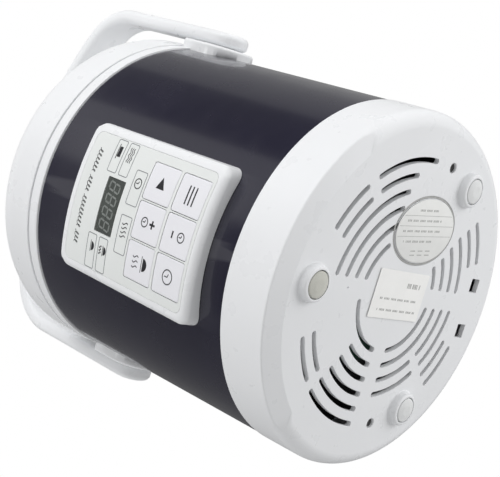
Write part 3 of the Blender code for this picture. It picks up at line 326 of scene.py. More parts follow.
def skin(bm, rings, loop=False, caps=False):
    """Faces from each ring to the next, round to the first for a loop, with both ends closed for caps."""
    for ring, following in zip(rings, rings[1:] + rings[:1] if loop else rings[1:]):
        stitch(bm, ring, following)
    if caps:
        bm.faces.new(rings[0])
        bm.faces.new(rings[-1])
    return bm


def stitch(bm, ring, following):
    """Faces between two closed rings, either of which may be a single vertex."""
    if len(ring) == 1 and len(following) == 1:
        return
    count = max(len(ring), len(following))
    for i in range(count):
        j = (i + 1) % count
        corners = [ring[i % len(ring)], ring[j % len(ring)], following[j % len(following)],
                   following[i % len(following)]]
        bm.faces.new(list(dict.fromkeys(corners)))


def arc(centre, radius, start, end, steps):
    angles = [math.radians(start + (end - start) * i / steps) for i in range(steps + 1)]
    return [(centre[0] + radius * math.cos(a), centre[1] + radius * math.sin(a)) for a in angles]


def layers(bm, outlines, place=lambda u, v, w: (u, v, w)):
    """A body from stacked outlines [(points, w)], all with as many points, closed at both ends."""
    rings = [[bm.verts.new(place(u, v, w)) for u, v in points] for points, w in outlines]
    return skin(bm, rings, caps=True)


def prism(bm, outline, low, high, place=lambda u, v, w: (u, v, w)):
    return layers(bm, [(outline, low), (outline, high)], place)


def block(bm, low, high):
    outline = [(low[0], low[1]), (high[0], low[1]), (high[0], high[1]), (low[0], high[1])]
    return prism(bm, outline, low[2], high[2])


def box_outline(low, high, radius, steps=8):
    """A round-cornered rectangle."""
    corners = [(low[0], low[1], radius), (high[0], low[1], radius), (high[0], high[1], radius),
               (low[0], high[1], radius)]
    return softened(corners, steps)


def box_hole(bm, box, grow, radius, steps, near, far):
    """A hole along Y, this much wider all round than the box of what fits in it."""
    low, high = box
    outline = box_outline((low.x - grow, low.z - grow), (high.x + grow, high.z + grow), radius, steps)
    return prism(bm, outline, near, far, facing_y)


def rod(bm, radius, start, end, steps=32, ease=0.0):
    """A round rod, with its two rims eased."""
    start, end = Vector(start), Vector(end)
    length = (end - start).length
    profile = softened([(0, 0, 0), (radius, 0, ease), (radius, length, ease), (0, length, 0)], 3)
    return revolve(bm, profile, steps, start, (end - start).normalized())


def both_sides(near, far):
    """The X limits of a pair of features, left one first."""
    return (-far, -near), (near, far)


def facing_y(u, v, w):
    return (u, w, v)


def facing_x(u, v, w):
    return (w, u, v)


def polar(radius, degrees_from_front):
    angle = math.radians(degrees_from_front)
    return radius * math.sin(angle), -radius * math.cos(angle)


def smoothstep(value, low, high):
    t = min(1.0, max(0.0, (value - low) / (high - low)))
    return t * t * (3 - 2 * t)


# ---- base
VENT_RADII = (0.031, 0.039, 0.047, 0.055, 0.063, 0.071)
VENT_HALF = 0.0014
VENT_MOUTH = 0.00028          # how far each slot's rim is eased
VENT_RIB = 0.0064
SCREW_ANGLES = (-100, 102)
SCREW_RADIUS = 0.0717
SQUARE_HOLES_X = (-0.0156, 0.0111)


def foot_spots():
    return [polar(FOOT_RADIUS, angle) for angle in FOOT_ANGLES]


def screw_spots():
    return [polar(SCREW_RADIUS, angle) for angle in SCREW_ANGLES]


def vent_arcs(ring):
    """(start, end) angles from the front of one ring's slots, positive to the right."""
    rib = math.degrees(VENT_RIB / VENT_RADII[ring])
    arcs = [(-90 + rib, -rib) if ring == 0 else (-90 + rib, -49)]
    if ring >= 4:
        arcs += [(-42, -23), (23, 44), (52, 77 if ring == 4 else 89), (-158, -138), (141, 160)]
        return arcs
    arcs += [(rib, (50, 64, 68, 72)[ring]), ((148, 146, 143, 141)[ring], 180 - rib)]
    if ring < 2:
        arcs.append((-180 + rib, -90 - rib))
    else:
        arcs += [(-130, -90 - rib), (-180 + rib, -139)]
    return arcs


def slot_outline(radius, start, end, half):
    """One curved slot with round ends."""
    steps = max(4, round((end - start) / 3))
    sweep = [start + (end - start) * i / steps for i in range(steps + 1)]
    outline = [polar(radius + half, a) for a in sweep]
    outline += tip(radius, end, half, 1)
    outline += [polar(radius - half, a) for a in reversed(sweep)]
    outline += tip(radius, start, half, -1)
    return outline


def tip(radius, angle, half, direction):
    """The round end of a slot, without its two corners."""
    centre = Vector(polar(radius, angle))
    outward = centre.normalized()
    ahead = Vector((-outward.y, outward.x)) * direction
    first = outward * direction
    return [tuple(centre + (first * math.cos(t) + ahead * math.sin(t)) * half)
            for t in (math.pi * k / 6 for k in range(1, 6))]


def vent_cutter():
    bm = bmesh.new()
    levels = ((-0.0010, VENT_MOUTH), (0.0, VENT_MOUTH), (VENT_MOUTH * 0.35, VENT_MOUTH * 0.35),
              (VENT_MOUTH, 0.0), (0.004, 0.0))
    for ring, radius in enumerate(VENT_RADII):
        for start, end in vent_arcs(ring):
            layers(bm, [(slot_outline(radius, start, end, VENT_HALF + grow), FLOOR_Z + depth)
                        for depth, grow in levels])
    return bm


def base_edge(angle):
    """Profile of the bottom edge: a flat chamfer along the front, and a full round elsewhere."""
    steps = 12
    chamfer = softened([(0.070, FLOOR_Z, 0), (0.0855, FLOOR_Z, 0.0012), (SKIN_R, 0.0084, 0.0012),
                        (SKIN_R, 0.030, 0)], (steps - 2) // 2)[1:-1]
    radius = 0.008
    rounded = arc((SKIN_R - radius, FLOOR_Z + radius), radius, -90, 0, len(chamfer) - 1)
    mix = smoothstep(abs(angle), 48, 53)
    return [(a[0] + (b[0] - a[0]) * mix, a[1] + (b[1] - a[1]) * mix) for a, b in zip(chamfer, rounded)]


def make_base_cover():
    """The vented base, with its foot bosses, screw wells, square holes and label groove."""
    lip_out = BAND_R - BAND_THICK - GAP
    lip_in = lip_out - 0.0025
    wall_in = SKIN_R - 0.0027
    top = BAND_LOW - GAP
    inside = [(lip_out, top), (lip_out, 0.044), (lip_in, 0.044), (lip_in, top - 0.002),
              (wall_in, top - 0.004), (wall_in, 0.013), (0.0862, 0.0078)]
    shoulder = [(SKIN_R, 0.020), (SKIN_R, top - 0.0006), (SKIN_R - 0.0002, top - 0.0001),
                (SKIN_R - 0.0006, top)]
    bm = bmesh.new()
    rings = []
    for i in range(ROUND):
        angle = -180 + 360 * i / ROUND
        across, ahead = polar(1.0, angle)
        profile = base_edge(angle) + shoulder + inside
        rings.append([bm.verts.new((r * across, r * ahead, z)) for r, z in profile])
    for ring, following in zip(rings, rings[1:] + rings[:1]):
        for k in range(len(ring) - 1):
            bm.faces.new((ring[k], ring[k + 1], following[k + 1], following[k]))
    bm.faces.new([ring[0] for ring in rings])
    bm.faces.new([ring[-1] for ring in rings])
    cover = raw("base_shell", bm)

    bosses = bmesh.new()
    for x, y in foot_spots():
        profile = softened([(0, 0.0010, 0), (0.0090, 0.0010, 0.0016), (0.0098, 0.0050, 0.0012),
                            (0.0114, 0.0052, 0), (0.0114, 0.0062, 0), (0, 0.0062, 0)], 6)
        revolve(bosses, profile, 64, (x, y, 0))
    for x, y in screw_spots():
        rod(bosses, 0.0058, (x, y, 0.0070), (x, y, 0.0103))
    wells = bmesh.new()
    for x, y in foot_spots():
        rod(wells, 0.0073, (x, y, -0.001), (x, y, 0.0042), steps=64)
    for x, y in screw_spots():
        profile = [(0, 0.003), (0.0031, 0.003), (0.0031, 0.005), (0.0027, 0.0054), (0.0026, 0.008),
                   (0.0017, 0.008), (0.0017, 0.012), (0, 0.012)]
        revolve(wells, profile, 32, (x, y, 0))
    for x in SQUARE_HOLES_X:
        outline = box_outline((x - 0.0039, 0.0682), (x + 0.0039, 0.0760), 0.0004, 2)
        prism(wells, outline, 0.003, 0.009)
    box_hole(wells, INLET_BOX, GAP, 0.0008, 3, 0.085, 0.100)
    groove = bmesh.new()
    ring_layers(groove, plate_outline(0.0018), plate_outline(0.0004), FLOOR_Z - 0.001, FLOOR_Z + 0.0006)
    dot = rod(bmesh.new(), 0.0006, (0, -0.043, 0.003), (0, -0.043, 0.0055), steps=16)
    carve(cover, [bosses], [vent_cutter(), wells, groove, dot])
    dress(cover, "white_abs", "root", ["base_cover"])


def ring_layers(bm, outer, inner, low, high):
    """An upright ring between two outlines."""
    rings = [[bm.verts.new((u, v, w)) for u, v in outline]
             for outline, w in ((outer, low), (outer, high), (inner, high), (inner, low))]
    return skin(bm, rings, loop=True)


MARK_LIFT = 0.00003
MARK_THICK = 0.00006
PLATE_AT = (0.035, 0.0067)
PLATE_HALF = (0.017, 0.0253)
PLATE_LEAN = math.radians(-6.5)
PLATE_STEPS = 96


def on_plate(u, v):
    """From the oval plate's own axes to the base's X and Y."""
    return (PLATE_AT[0] + u * math.cos(PLATE_LEAN) - v * math.sin(PLATE_LEAN),
            PLATE_AT[1] + u * math.sin(PLATE_LEAN) + v * math.cos(PLATE_LEAN))


def plate_outline(grow=0.0):
    return [on_plate((PLATE_HALF[0] + grow) * math.cos(t), (PLATE_HALF[1] + grow) * math.sin(t))
            for t in (2 * math.pi * i / PLATE_STEPS for i in range(PLATE_STEPS))]


def make_rating_plate():
    low, high = PLATE_BOX[0].z, PLATE_BOX[1].z
    bm = bmesh.new()
    layers(bm, [(plate_outline(-0.0003), low), (plate_outline(-0.0001), low + 0.00008),
                (plate_outline(0), low + 0.0002), (plate_outline(0), high)])
    piece("rating_plate_fine", bm, "label_plate", "root", ["rating_plate"])
    # a pale grey ring in the groove round the rating plate: painted shade where the recess round the plate
    # falls into shade
    bm = bmesh.new()
    ring_layers(bm, plate_outline(0.0016), plate_outline(0.0006), FLOOR_Z + 0.0002, FLOOR_Z + 0.0005)
    piece("plate_painted_shade_ring", bm, "pale_ink_and_painted_shade", "root")
    marks = bmesh.new()
    face = low - MARK_LIFT
    lengthwise = lambda along, across: on_plate(across, along)
    for across in (0.0082, 0.0027, -0.0028):
        reach = PLATE_HALF[1] * math.sqrt(1 - (across / PLATE_HALF[0]) ** 2) - 0.0010
        flat_bar(marks, lengthwise, (-reach, across - 0.00012), (reach, across + 0.00012), face)
    rows = ((-0.009, 0.018), (-0.018, 0.030), (-0.020, 0.034), (-0.018, 0.026))
    for row, (start, width) in enumerate(rows):
        fine_print(marks, lengthwise, start, 0.0110 - row * 0.0055, width, 0.0011, face, row)
    for i in range(3):
        start = -0.0095 + i * 0.0066
        flat_bar(marks, lengthwise, (start, -0.0108), (start + 0.0042, -0.0103), face)
        flat_bar(marks, lengthwise, (start, -0.0130), (start + 0.0042, -0.0125), face)
    piece("rating_marks", marks, "pale_ink_and_painted_shade", "root")


def flat_bar(bm, place, low, high, z):
    """A printed bar on the underside, as a very thin slab."""
    corners = ((low[0], low[1]), (high[0], low[1]), (high[0], high[1]), (low[0], high[1]))
    prism(bm, [place(u, v) for u, v in corners], z, z + MARK_THICK)


def fine_print(bm, place, start, v, width, height, z, seed):
    """A row of small upright bars of uneven width that reads as fine print but spells nothing."""
    u = start
    i = 0
    while u < start + width:
        wide = 0.0005 + 0.0005 * abs(math.sin(1.7 * i + seed))
        if (i + seed) % 5 != 4:
            flat_bar(bm, place, (u, v - height / 2), (u + wide, v + height / 2), z)
        u += wide + 0.0004
        i += 1


def make_base_label():
    low, high = LABEL_BOX[0], LABEL_BOX[1]
    bm = bmesh.new()
    outline = box_outline((low.x, low.y), (high.x, high.y), 0.0008, 3)
    prism(bm, outline, low.z, high.z)
    piece("base_label_fine", bm, "label_paper", "root", ["base_label"])
    marks = bmesh.new()
    face = low.z - MARK_LIFT
    turned_over = lambda u, v: (low.x + v, low.y + u)
    fine_print(marks, turned_over, 0.0270, 0.0185, 0.0120, 0.0026, face, 1)
    fine_print(marks, turned_over, 0.0060, 0.0105, 0.0330, 0.0011, face, 2)
    fine_print(marks, turned_over, 0.0060, 0.0045, 0.0340, 0.0011, face, 3)
    piece("label_marks", marks, "pale_ink_and_painted_shade", "root")


def make_feet():
    for name, (x, y) in zip(("front", "right", "left"), foot_spots()):
        profile = softened([(0, 0, 0), (0.0030, 0, 0.0028), (0.0067, 0.0008, 0.0008), (0.0070, 0.0039, 0),
                            (0, 0.0039, 0)], 6)
        bm = revolve(bmesh.new(), profile, 64, (x, y, 0))
        # all three pads are the same rubber; the side two get a paler copy of it, a painted highlight
        finish = "foot_rubber" if name == "front" else "foot_rubber_painted_highlight"
        piece("foot_" + name, bm, finish, "root", ["foot_pad_" + name])


# ---- band and upper ring
EAR_HALF = 0.0175
EAR_FACE = 0.100


def ear_outline(grow=0.0, top=SEAM_Z - 0.0007):
    half = EAR_HALF + grow
    return arc((0, PIVOT_Z), half, 180, 360, 40) + [(half, top), (-half, top)]


def make_outer_band():
    inner = BAND_R - BAND_THICK
    ease = 0.0004
    profile = softened([(inner, BAND_LOW, ease), (BAND_R, BAND_LOW, ease), (BAND_R, BAND_TOP, ease),
                        (inner, BAND_TOP, ease)], 3)
    band = raw("band_shell", revolve(bmesh.new(), profile, ROUND))
    openings = bmesh.new()
    for low, high in both_sides(0.085, 0.105):
        prism(openings, ear_outline(GAP, BAND_TOP + 0.005), low, high, facing_x)
    window = box_outline((-PLUG_HALF - GAP, PLUG_LOW - GAP), (PLUG_HALF + GAP, PLUG_TOP + GAP), 0.004)
    prism(openings, window, -0.110, -0.080, facing_y)
    carve(band, [], [openings])
    dress(band, "band_paint", "root", ["outer_band"])


def make_upper_ring():
    top = SEAM_Z - 0.0002
    skirt_out = BAND_R - BAND_THICK - GAP
    skirt_in = skirt_out - 0.0025
    low = BAND_TOP + GAP
    profile = softened([
        (0.0825, 0.1855, 0.0005), (skirt_in, 0.1855, 0), (skirt_in, 0.172, 0), (skirt_out, 0.172, 0),
        (skirt_out, low, 0), (RING_R, low, 0.0006), (RING_R, top, 0.0009), (0.0905, top, 0.0006),
        (0.0900, 0.1885, 0), (0.0825, 0.1885, 0.0008),
    ], 4)
    ring = raw("ring_shell", revolve(bmesh.new(), profile, ROUND))
    ease = 0.0016
    ears = bmesh.new()
    for side in (-1, 1):
        stack = [(ear_outline(), side * 0.088), (ear_outline(), side * (EAR_FACE - ease))]
        for k in range(1, 6):
            t = math.radians(90 * k / 5)
            shrink = -ease * (1 - math.cos(t))
            stack.append((ear_outline(shrink), side * (EAR_FACE - ease + ease * math.sin(t))))
        layers(ears, stack, facing_x)
    ears = raw("ears", ears)
    inside = (skirt_in + skirt_out) / 2
    hollow = revolve(bmesh.new(), [(0, 0.150), (inside, 0.150), (inside, 0.200), (0, 0.200)])
    carve(ears, [], [hollow])
    lugs = bmesh.new()
    webs = bmesh.new()
    for x0, x1 in both_sides(0.0125, 0.025):
        rod(lugs, KNUCKLE_R, (x0, *KNUCKLE), (x1, *KNUCKLE), steps=48, ease=0.0006)
    for x0, x1 in both_sides(0.0129, 0.0246):
        block(webs, (x0, 0.0915, BAND_TOP + 3 * GAP), (x1, HINGE_Y + 0.0038, SEAM_Z - 0.0008))
    bores = bmesh.new()
    rod(bores, PIN_BORE_R, (-0.027, *KNUCKLE), (0.027, *KNUCKLE), steps=32)
    for low_x, high_x in both_sides(0.080, 0.110):
        rod(bores, BUSH_BORE_R, (low_x, 0, PIVOT_Z), (high_x, 0, PIVOT_Z), steps=48)
    lug_space = block(bmesh.new(), (-0.0123, 0.0918, 0.1878), (0.0123, 0.106, 0.203))
    slot = block(bmesh.new(), (-0.009, -0.0910, 0.1865), (0.009, -0.0800, 0.198))
    catch = block(bmesh.new(), (-0.009, -0.0932, 0.1866), (0.009, -0.0805, 0.1916))
    carve(ring, [ears, lugs, webs], [bores, lug_space, slot, catch])
    dress(ring, "white_abs", "root", ["upper_ring"])


# ---- control panel
PANEL_LOW, PANEL_TOP = HOUSING_BOX[0].z, HOUSING_BOX[1].z
PANEL_HALF = HOUSING_BOX[1].x
PROUD_LOW = 0.0080
PROUD_TOP = 0.0012
FACE_R = 0.145
PLUG_HALF = 0.0367
PLUG_LOW = 0.0538
PLUG_TOP = 0.1572
FILM_HALF = FILM_BOX[1].x
FILM_LOW, FILM_TOP = FILM_BOX[0].z, FILM_BOX[1].z
FILM_THICK = 0.0019
FILM_GROW = 0.00022            # the film nearly fills its recess, so that no dark line shows round it
FLOOR_FRONT = 0.0022
FLOOR_BACK = 0.0039
KEY_X = (-0.0205, 0.0, 0.0205)
KEY_Z = (0.0915, 0.0680)
KEY_HALF_X = 0.0096
KEY_HALF_Z = 0.0106
# (inset, depth) of a key's eased edge, from its face to its back
KEY_EDGE = ((0.0009, 0.0), (0.0004, 0.00003), (0.00012, 0.00012), (0.0, 0.0003), (0.0, 0.0012))
KEY_NAMES = (("key_keep_warm", "key_hour_up", "key_start"), ("key_timer", "key_minute_down", "key_function"))
LIGHT_SPOTS = ((-0.0265, 0.1325), (-0.0265, 0.1235), (0.0265, 0.1315), (0.0265, 0.1230),
               (-0.0120, 0.1085), (0.0140, 0.1085))


def panel_face(x, z):
    """Y of the panel's face: gently curved across, leaning out towards the bottom."""
    down = (PANEL_TOP - z) / (PANEL_TOP - PANEL_LOW)
    proud = PROUD_TOP + (PROUD_LOW - PROUD_TOP) * down
    return -(BAND_R + proud) + FACE_R - math.sqrt(FACE_R ** 2 - x * x)


def band_surface(x, z):
    return -math.sqrt((BAND_R + GAP) ** 2 - x * x)


def panel_loop(low, high, corner, columns=18, turns=6):
    """A round-cornered outline in X and Z: along the bottom to the right, then back along the top."""
    (x0, z0), (x1, z1) = low, high
    rises = []
    for i in range(turns):
        t = math.radians(90 * i / turns)
        rises.append((corner * (1 - math.cos(t)), corner * (1 - math.sin(t))))
    span = x1 - x0 - 2 * corner
    across = [(x0 + inset, rise) for inset, rise in rises]
    across += [(x0 + corner + span * i / columns, 0.0) for i in range(columns + 1)]
    across += [(x1 - inset, rise) for inset, rise in reversed(rises)]
    return [(x, z0 + rise) for x, rise in across] + [(x, z1 - rise) for x, rise in reversed(across)]


def ladder(bm, ring):
    """Closes an outline from panel_loop with rungs from its bottom to its top."""
    last = len(ring) - 1
    for i in range(len(ring) // 2 - 1):
        bm.faces.new((ring[i], ring[i + 1], ring[last - i - 1], ring[last - i]))


def panel_body(bm, stack):
    """A body from (outline, surface) pairs; a surface gives the Y of each outline point."""
    rings = [[bm.verts.new((x, surface_y(x, z), z)) for x, z in outline] for outline, surface_y in stack]
    skin(bm, rings)
    ladder(bm, rings[0])
    ladder(bm, rings[-1])
    return bm


def behind(depth):
    return lambda x, z: panel_face(x, z) + depth


def far(y):
    return lambda x, z: y


def inset_loop(margins, corner):
    """The housing's outline moved in by (side, bottom, top) margins."""
    side, bottom, top = margins
    return panel_loop((-PANEL_HALF + side, PANEL_LOW + bottom), (PANEL_HALF - side, PANEL_TOP - top), corner)


def make_panel_housing():
    """The white frame round the film: a deep round along its lower edge, smaller ones elsewhere."""
    film = panel_loop((-FILM_HALF - GAP, FILM_LOW - GAP), (FILM_HALF + GAP, FILM_TOP + GAP), 0.0040)
    lip = panel_loop((-FILM_HALF - GAP - 0.0002, FILM_LOW - GAP - 0.0002),
                     (FILM_HALF + GAP + 0.0002, FILM_TOP + GAP + 0.0002), 0.0042)
    plug = panel_loop((-PLUG_HALF, PLUG_LOW), (PLUG_HALF, PLUG_TOP), 0.004)
    tray = panel_loop((-PLUG_HALF + 0.002, PLUG_LOW + 0.003), (PLUG_HALF - 0.002, PLUG_TOP - 0.003), 0.002)
    stack = [(film, behind(FLOOR_FRONT)), (film, behind(0.0002)), (lip, behind(0.0))]
    side_ease, low_ease, top_ease = 0.0030, 0.0040, 0.0016
    for k in range(9):
        t = math.radians(90 * k / 8)
        run, fall = 1 - math.sin(t), 1 - math.cos(t)
        outline = inset_loop((side_ease * run, low_ease * run, top_ease * run), 0.0045 + 0.0015 * (1 - run))
        stack.append((outline, rounded_face(fall, side_ease, low_ease, top_ease)))
    stack.append((inset_loop((0, 0, 0), 0.006), band_surface))
    stack.append((plug, lambda x, z: band_surface(x, z) + 0.0003))
    stack.append((plug, far(-0.0868)))
    stack.append((plug_inner(0.0004), far(-0.0865)))
    stack.append((tray, far(-0.0865)))
    stack.append((tray, behind(FLOOR_BACK)))
    housing = raw("housing_shell", panel_body(bmesh.new(), stack))
    holes = bmesh.new()
    box_hole(holes, DISPLAY_BOX, -0.001, 0.0005, 2, -0.110, -0.090)
    for x, z in LIGHT_SPOTS:
        rod(holes, 0.0013, (x, -0.110, z), (x, -0.090, z), steps=16)
    for x, z in key_places():
        start, end = stem_ends(x, z)
        rod(holes, 0.0021, start, end + inward() * 0.002, steps=24)
    carve(housing, [], [holes])
    dress(housing, "white_abs", "root", ["panel_housing"])


def plug_inner(inset):
    return panel_loop((-PLUG_HALF + inset, PLUG_LOW + inset), (PLUG_HALF - inset, PLUG_TOP - inset), 0.004)


def rounded_face(fall, side_ease, low_ease, top_ease):
    """The face sunk by a share of the edge's round; the share's depth differs between the edges."""
    def y_at(x, z):
        to_side = PANEL_HALF - abs(x)
        to_low, to_top = z - PANEL_LOW, PANEL_TOP - z
        nearest = min((to_side / side_ease, side_ease * 0.8), (to_low / low_ease, low_ease),
                      (to_top / top_ease, top_ease * 0.6))
        return min(panel_face(x, z) + fall * nearest[1], band_surface(x, z) - 0.0001)
    return y_at


def key_places():
    return [(x, z) for z in KEY_Z for x in KEY_X]


def keys():
    """Each key's name and the middle of its face."""
    return list(zip([name for row in KEY_NAMES for name in row], key_places()))


def inward():
    slope = (PROUD_LOW - PROUD_TOP) / (PANEL_TOP - PANEL_LOW)
    return Vector((0, 1, -slope)).normalized()


def stem_ends(x, z):
    start = Vector((x, panel_face(x, z) + 0.0008, z))
    reach = panel_face(0, z) + 0.0056 - start.y
    return start, start + inward() * reach


def make_panel_film():
    half, low_z, top_z = FILM_HALF + FILM_GROW, FILM_LOW - FILM_GROW, FILM_TOP + FILM_GROW
    loop = panel_loop((-half, low_z), (half, top_z), 0.0040)
    inner = panel_loop((-half + 0.0002, low_z + 0.0002), (half - 0.0002, top_z - 0.0002), 0.0038)
    film = raw("film_sheet", panel_body(bmesh.new(), [(inner, behind(0)), (loop, behind(0.00012)),
                                                      (loop, behind(FILM_THICK))]))
    windows = bmesh.new()
    for x, z in key_places():
        outline = panel_loop((x - KEY_HALF_X - GAP, z - KEY_HALF_Z - GAP),
                             (x + KEY_HALF_X + GAP, z + KEY_HALF_Z + GAP), 0.0013, 2, 4)
        prism(windows, outline, -0.112, -0.090, facing_y)
    box_hole(windows, DISPLAY_BOX, GAP, 0.0003, 2, -0.112, -0.090)
    carve(film, [], [windows])
    dress(film, "panel_film", "root", ["panel_overlay"])


def make_keys():
    """Six soft pads with eased edges, each on its own body, with its stem behind."""
    for name, (x, z) in keys():
        stack = []
        for inset, depth in KEY_EDGE:
            loop = panel_loop((x - KEY_HALF_X + inset, z - KEY_HALF_Z + inset),
                              (x + KEY_HALF_X - inset, z + KEY_HALF_Z - inset), 0.0012, 6, 4)
            stack.append((loop, behind(depth)))
        pad = raw(name + "_pad", panel_body(bmesh.new(), stack))
        start, end = stem_ends(x, z)
        stem = rod(bmesh.new(), 0.0015, start, end, steps=24)
        carve(pad, [stem])
        dress(pad, "key_film", name, [name])


# ---- print on the panel
LIFT = 0.00005
INK_THICK = 0.0001


def inked(bm, outline, at, lift=LIFT):
    """A filled printed shape on the panel, as a very thin slab that follows the face."""
    points = [(at[0] + u, at[1] + v) for u, v in outline]

    def ring(offset):
        return [bm.verts.new((x, panel_face(x, z) - offset, z)) for x, z in points]

    front, back = ring(lift), ring(lift - INK_THICK)
    bm.faces.new(front)
    bm.faces.new(back)
    stitch(bm, front, back)


def pen(bm, path, width, at, closed=False):
    """A printed line along a path, cut into short lengths so that it follows the face."""
    points = [Vector(p) for p in path]
    if closed:
        points.append(points[0])
    dense = []
    for a, b in zip(points, points[1:]):
        pieces = max(1, math.ceil((b - a).length / 0.002))
        dense += [a.lerp(b, i / pieces) for i in range(pieces)]
    if not closed:
        dense.append(points[-1])
    count = len(dense)
    widths = width if callable(width) else (lambda share: width)
    left, right = [], []
    for i, here in enumerate(dense):
        before = dense[i - 1] if i or closed else here
        after = dense[(i + 1) % count] if i < count - 1 or closed else here
        one = (here - before).normalized() if (here - before).length > 0 else (after - here).normalized()
        two = (after - here).normalized() if (after - here).length > 0 else one
        along = (one + two).normalized()
        across = Vector((-along.y, along.x))
        half = widths(i / max(1, count - 1)) / 2 / max(0.5, abs(across.dot(Vector((-one.y, one.x)))))
        left.append(here + across * half)
        right.append(here - across * half)
    rings = []
    for a, b in zip(left, right):
        corners = []
        for point, offset in ((a, LIFT), (b, LIFT), (b, LIFT - INK_THICK), (a, LIFT - INK_THICK)):
            x, z = at[0] + point.x, at[1] + point.y
            corners.append(bm.verts.new((x, panel_face(x, z) - offset, z)))
        rings.append(corners)
    skin(bm, rings, loop=closed, caps=not closed)


def circle(radius):
    steps = 20
    return arc((0, 0), radius, 0, 360 - 360 / steps, steps - 1)


def bar_shape(width, height, centre=(0, 0)):
    u, v = centre
    return [(u - width / 2, v - height / 2), (u + width / 2, v - height / 2), (u + width / 2, v + height / 2),
            (u - width / 2, v + height / 2)]


def draw_clock(bm, at, radius):
    pen(bm, circle(radius), 0.00055, at, closed=True)
    pen(bm, [(0, radius * 0.62), (0, 0), (radius * 0.45, -radius * 0.2)], 0.0005, at)


def draw_bowl(bm, at, size):
    """A bowl: a half disc under a rim line."""
    inked(bm, arc((0, -size * 0.1), size * 0.8, 180, 360, 12), at)
    pen(bm, [(-size, size * 0.12), (size, size * 0.12)], 0.0004, at)


def draw_waves(bm, at, height, count, gap):
    """Upright wavy lines, as of rising heat."""
    for k in range(count):
        start = (k - (count - 1) / 2) * gap
        path = [(start + 0.0006 * math.sin(2 * math.pi * i / 10), -height / 2 + height * i / 10)
                for i in range(11)]
        pen(bm, path, 0.0005, at)


def draw_plus(bm, at, size):
    inked(bm, bar_shape(size, size * 0.26), at)
    inked(bm, bar_shape(size * 0.26, size * 0.37, (0, size * 0.315)), at)
    inked(bm, bar_shape(size * 0.26, size * 0.37, (0, -size * 0.315)), at)


def key_icon(bm, name, at):
    if name == "key_start":
        inked(bm, [(-0.0026, -0.0032), (0.0036, 0.0), (-0.0026, 0.0032)], at)
    elif name == "key_function":
        for row in (-0.0026, 0.0, 0.0026):
            pen(bm, [(-0.0048, row), (0.0048, row)], 0.0009, at)
    elif name == "key_hour_up":
        draw_clock(bm, (at[0], at[1] + 0.0026), 0.0024)
        draw_plus(bm, (at[0], at[1] - 0.0036), 0.0042)
    elif name == "key_minute_down":
        draw_clock(bm, (at[0], at[1] - 0.0030), 0.0024)
        inked(bm, bar_shape(0.0036, 0.0010), (at[0], at[1] + 0.0036))
    elif name == "key_keep_warm":
        draw_waves(bm, (at[0], at[1] + 0.0030), 0.0044, 3, 0.0026)
        draw_bowl(bm, (at[0], at[1] - 0.0028), 0.0042)
    else:
        draw_clock(bm, at, 0.0036)


def make_key_icons():
    for name, at in keys():
        bm = bmesh.new()
        key_icon(bm, name, at)
        piece(name + "_icon", bm, "ink_dark", name)


INDICATORS = (  # left, right, low, high and the picture in it
    (-0.0347, -0.0166, 0.1290, 0.1365, "rice"),
    (-0.0347, -0.0166, 0.1190, 0.1265, "porridge"),
    (0.0170, 0.0345, 0.1290, 0.1365, "soup"),
    (0.0170, 0.0345, 0.1190, 0.1265, "noodles"),
    (-0.0206, -0.0008, 0.1040, 0.1130, "warm"),
    (0.0050, 0.0230, 0.1040, 0.1130, "timer"),
)


def indicator_picture(bm, kind, at):
    if kind == "rice":
        draw_bowl(bm, at, 0.0030)
    elif kind == "porridge":
        draw_bowl(bm, (at[0], at[1] - 0.0008), 0.0028)
        draw_waves(bm, (at[0], at[1] + 0.0018), 0.0018, 3, 0.0016)
    elif kind == "soup":
        inked(bm, bar_shape(0.0056, 0.0026, (0, -0.0006)), at)
        pen(bm, [(-0.0040, 0.0012), (0.0040, 0.0012)], 0.0005, at)
    elif kind == "noodles":
        for row in (-0.0014, 0.0, 0.0014):
            path = [(-0.0040 + 0.0008 * i, row + 0.0004 * math.sin(1.6 * i)) for i in range(11)]
            pen(bm, path, 0.00045, at)
    elif kind == "warm":
        draw_waves(bm, at, 0.0044, 4, 0.0022)
    else:
        draw_clock(bm, at, 0.0026)


def make_panel_print():
    """Indicator frames, their pictures and the looped ornament above the display."""
    lines, pictures = bmesh.new(), bmesh.new()
    for left, right, low, high, kind in INDICATORS:
        frame_line = box_outline((left, low), (right, high), 0.0009, 3)
        pen(lines, frame_line, 0.0004, (0, 0), closed=True)
        indicator_picture(pictures, kind, ((left + right) / 2 + 0.0025, (low + high) / 2))
    pitch, start, steps = 0.0022, -0.0256, 14
    for loops in (3, 8, 4, 6):
        path = []
        for i in range(loops * steps + 1):
            turn = 2 * math.pi * i / steps
            tall = 0.0012 + 0.0006 * abs(math.sin(900 * start + 0.55 * turn / math.pi))
            path.append((start + pitch * i / steps + 0.0008 * math.sin(turn) + 0.3 * tall * math.cos(turn),
                         tall * math.cos(turn)))
        pen(pictures, path, 0.00040, (0.0, 0.1470))
        start += loops * pitch + 0.0020
    piece("panel_lines", lines, "ink_line", "root")
    piece("panel_pictures", pictures, "ink_dark", "root")


def make_display():
    """The smoked window and the four unlit digits behind its face."""
    low, high = DISPLAY_BOX
    outer = panel_loop((low.x, low.z), (high.x, high.z), 0.0003, 10, 2)
    inner = panel_loop((low.x + 0.0002, low.z + 0.0002), (high.x - 0.0002, high.z - 0.0002), 0.0003, 10, 2)
    stack = [(inner, behind(0.0001)), (outer, behind(0.0003)), (outer, behind(FILM_THICK))]
    bm = panel_body(bmesh.new(), stack)
    piece("display_pane", bm, "smoked_window", "root", ["display_window"])
    digits = bmesh.new()
    middle = (low.z + high.z) / 2
    for i in range(4):
        centre_x = (i - 1.5) * 0.0068
        for outline in digit_segments(0.0021, 0.0043, 0.00095):
            inked(digits, outline, (centre_x, middle), lift=-0.00005)
    piece("display_digits", digits, "segment_grey", "root")


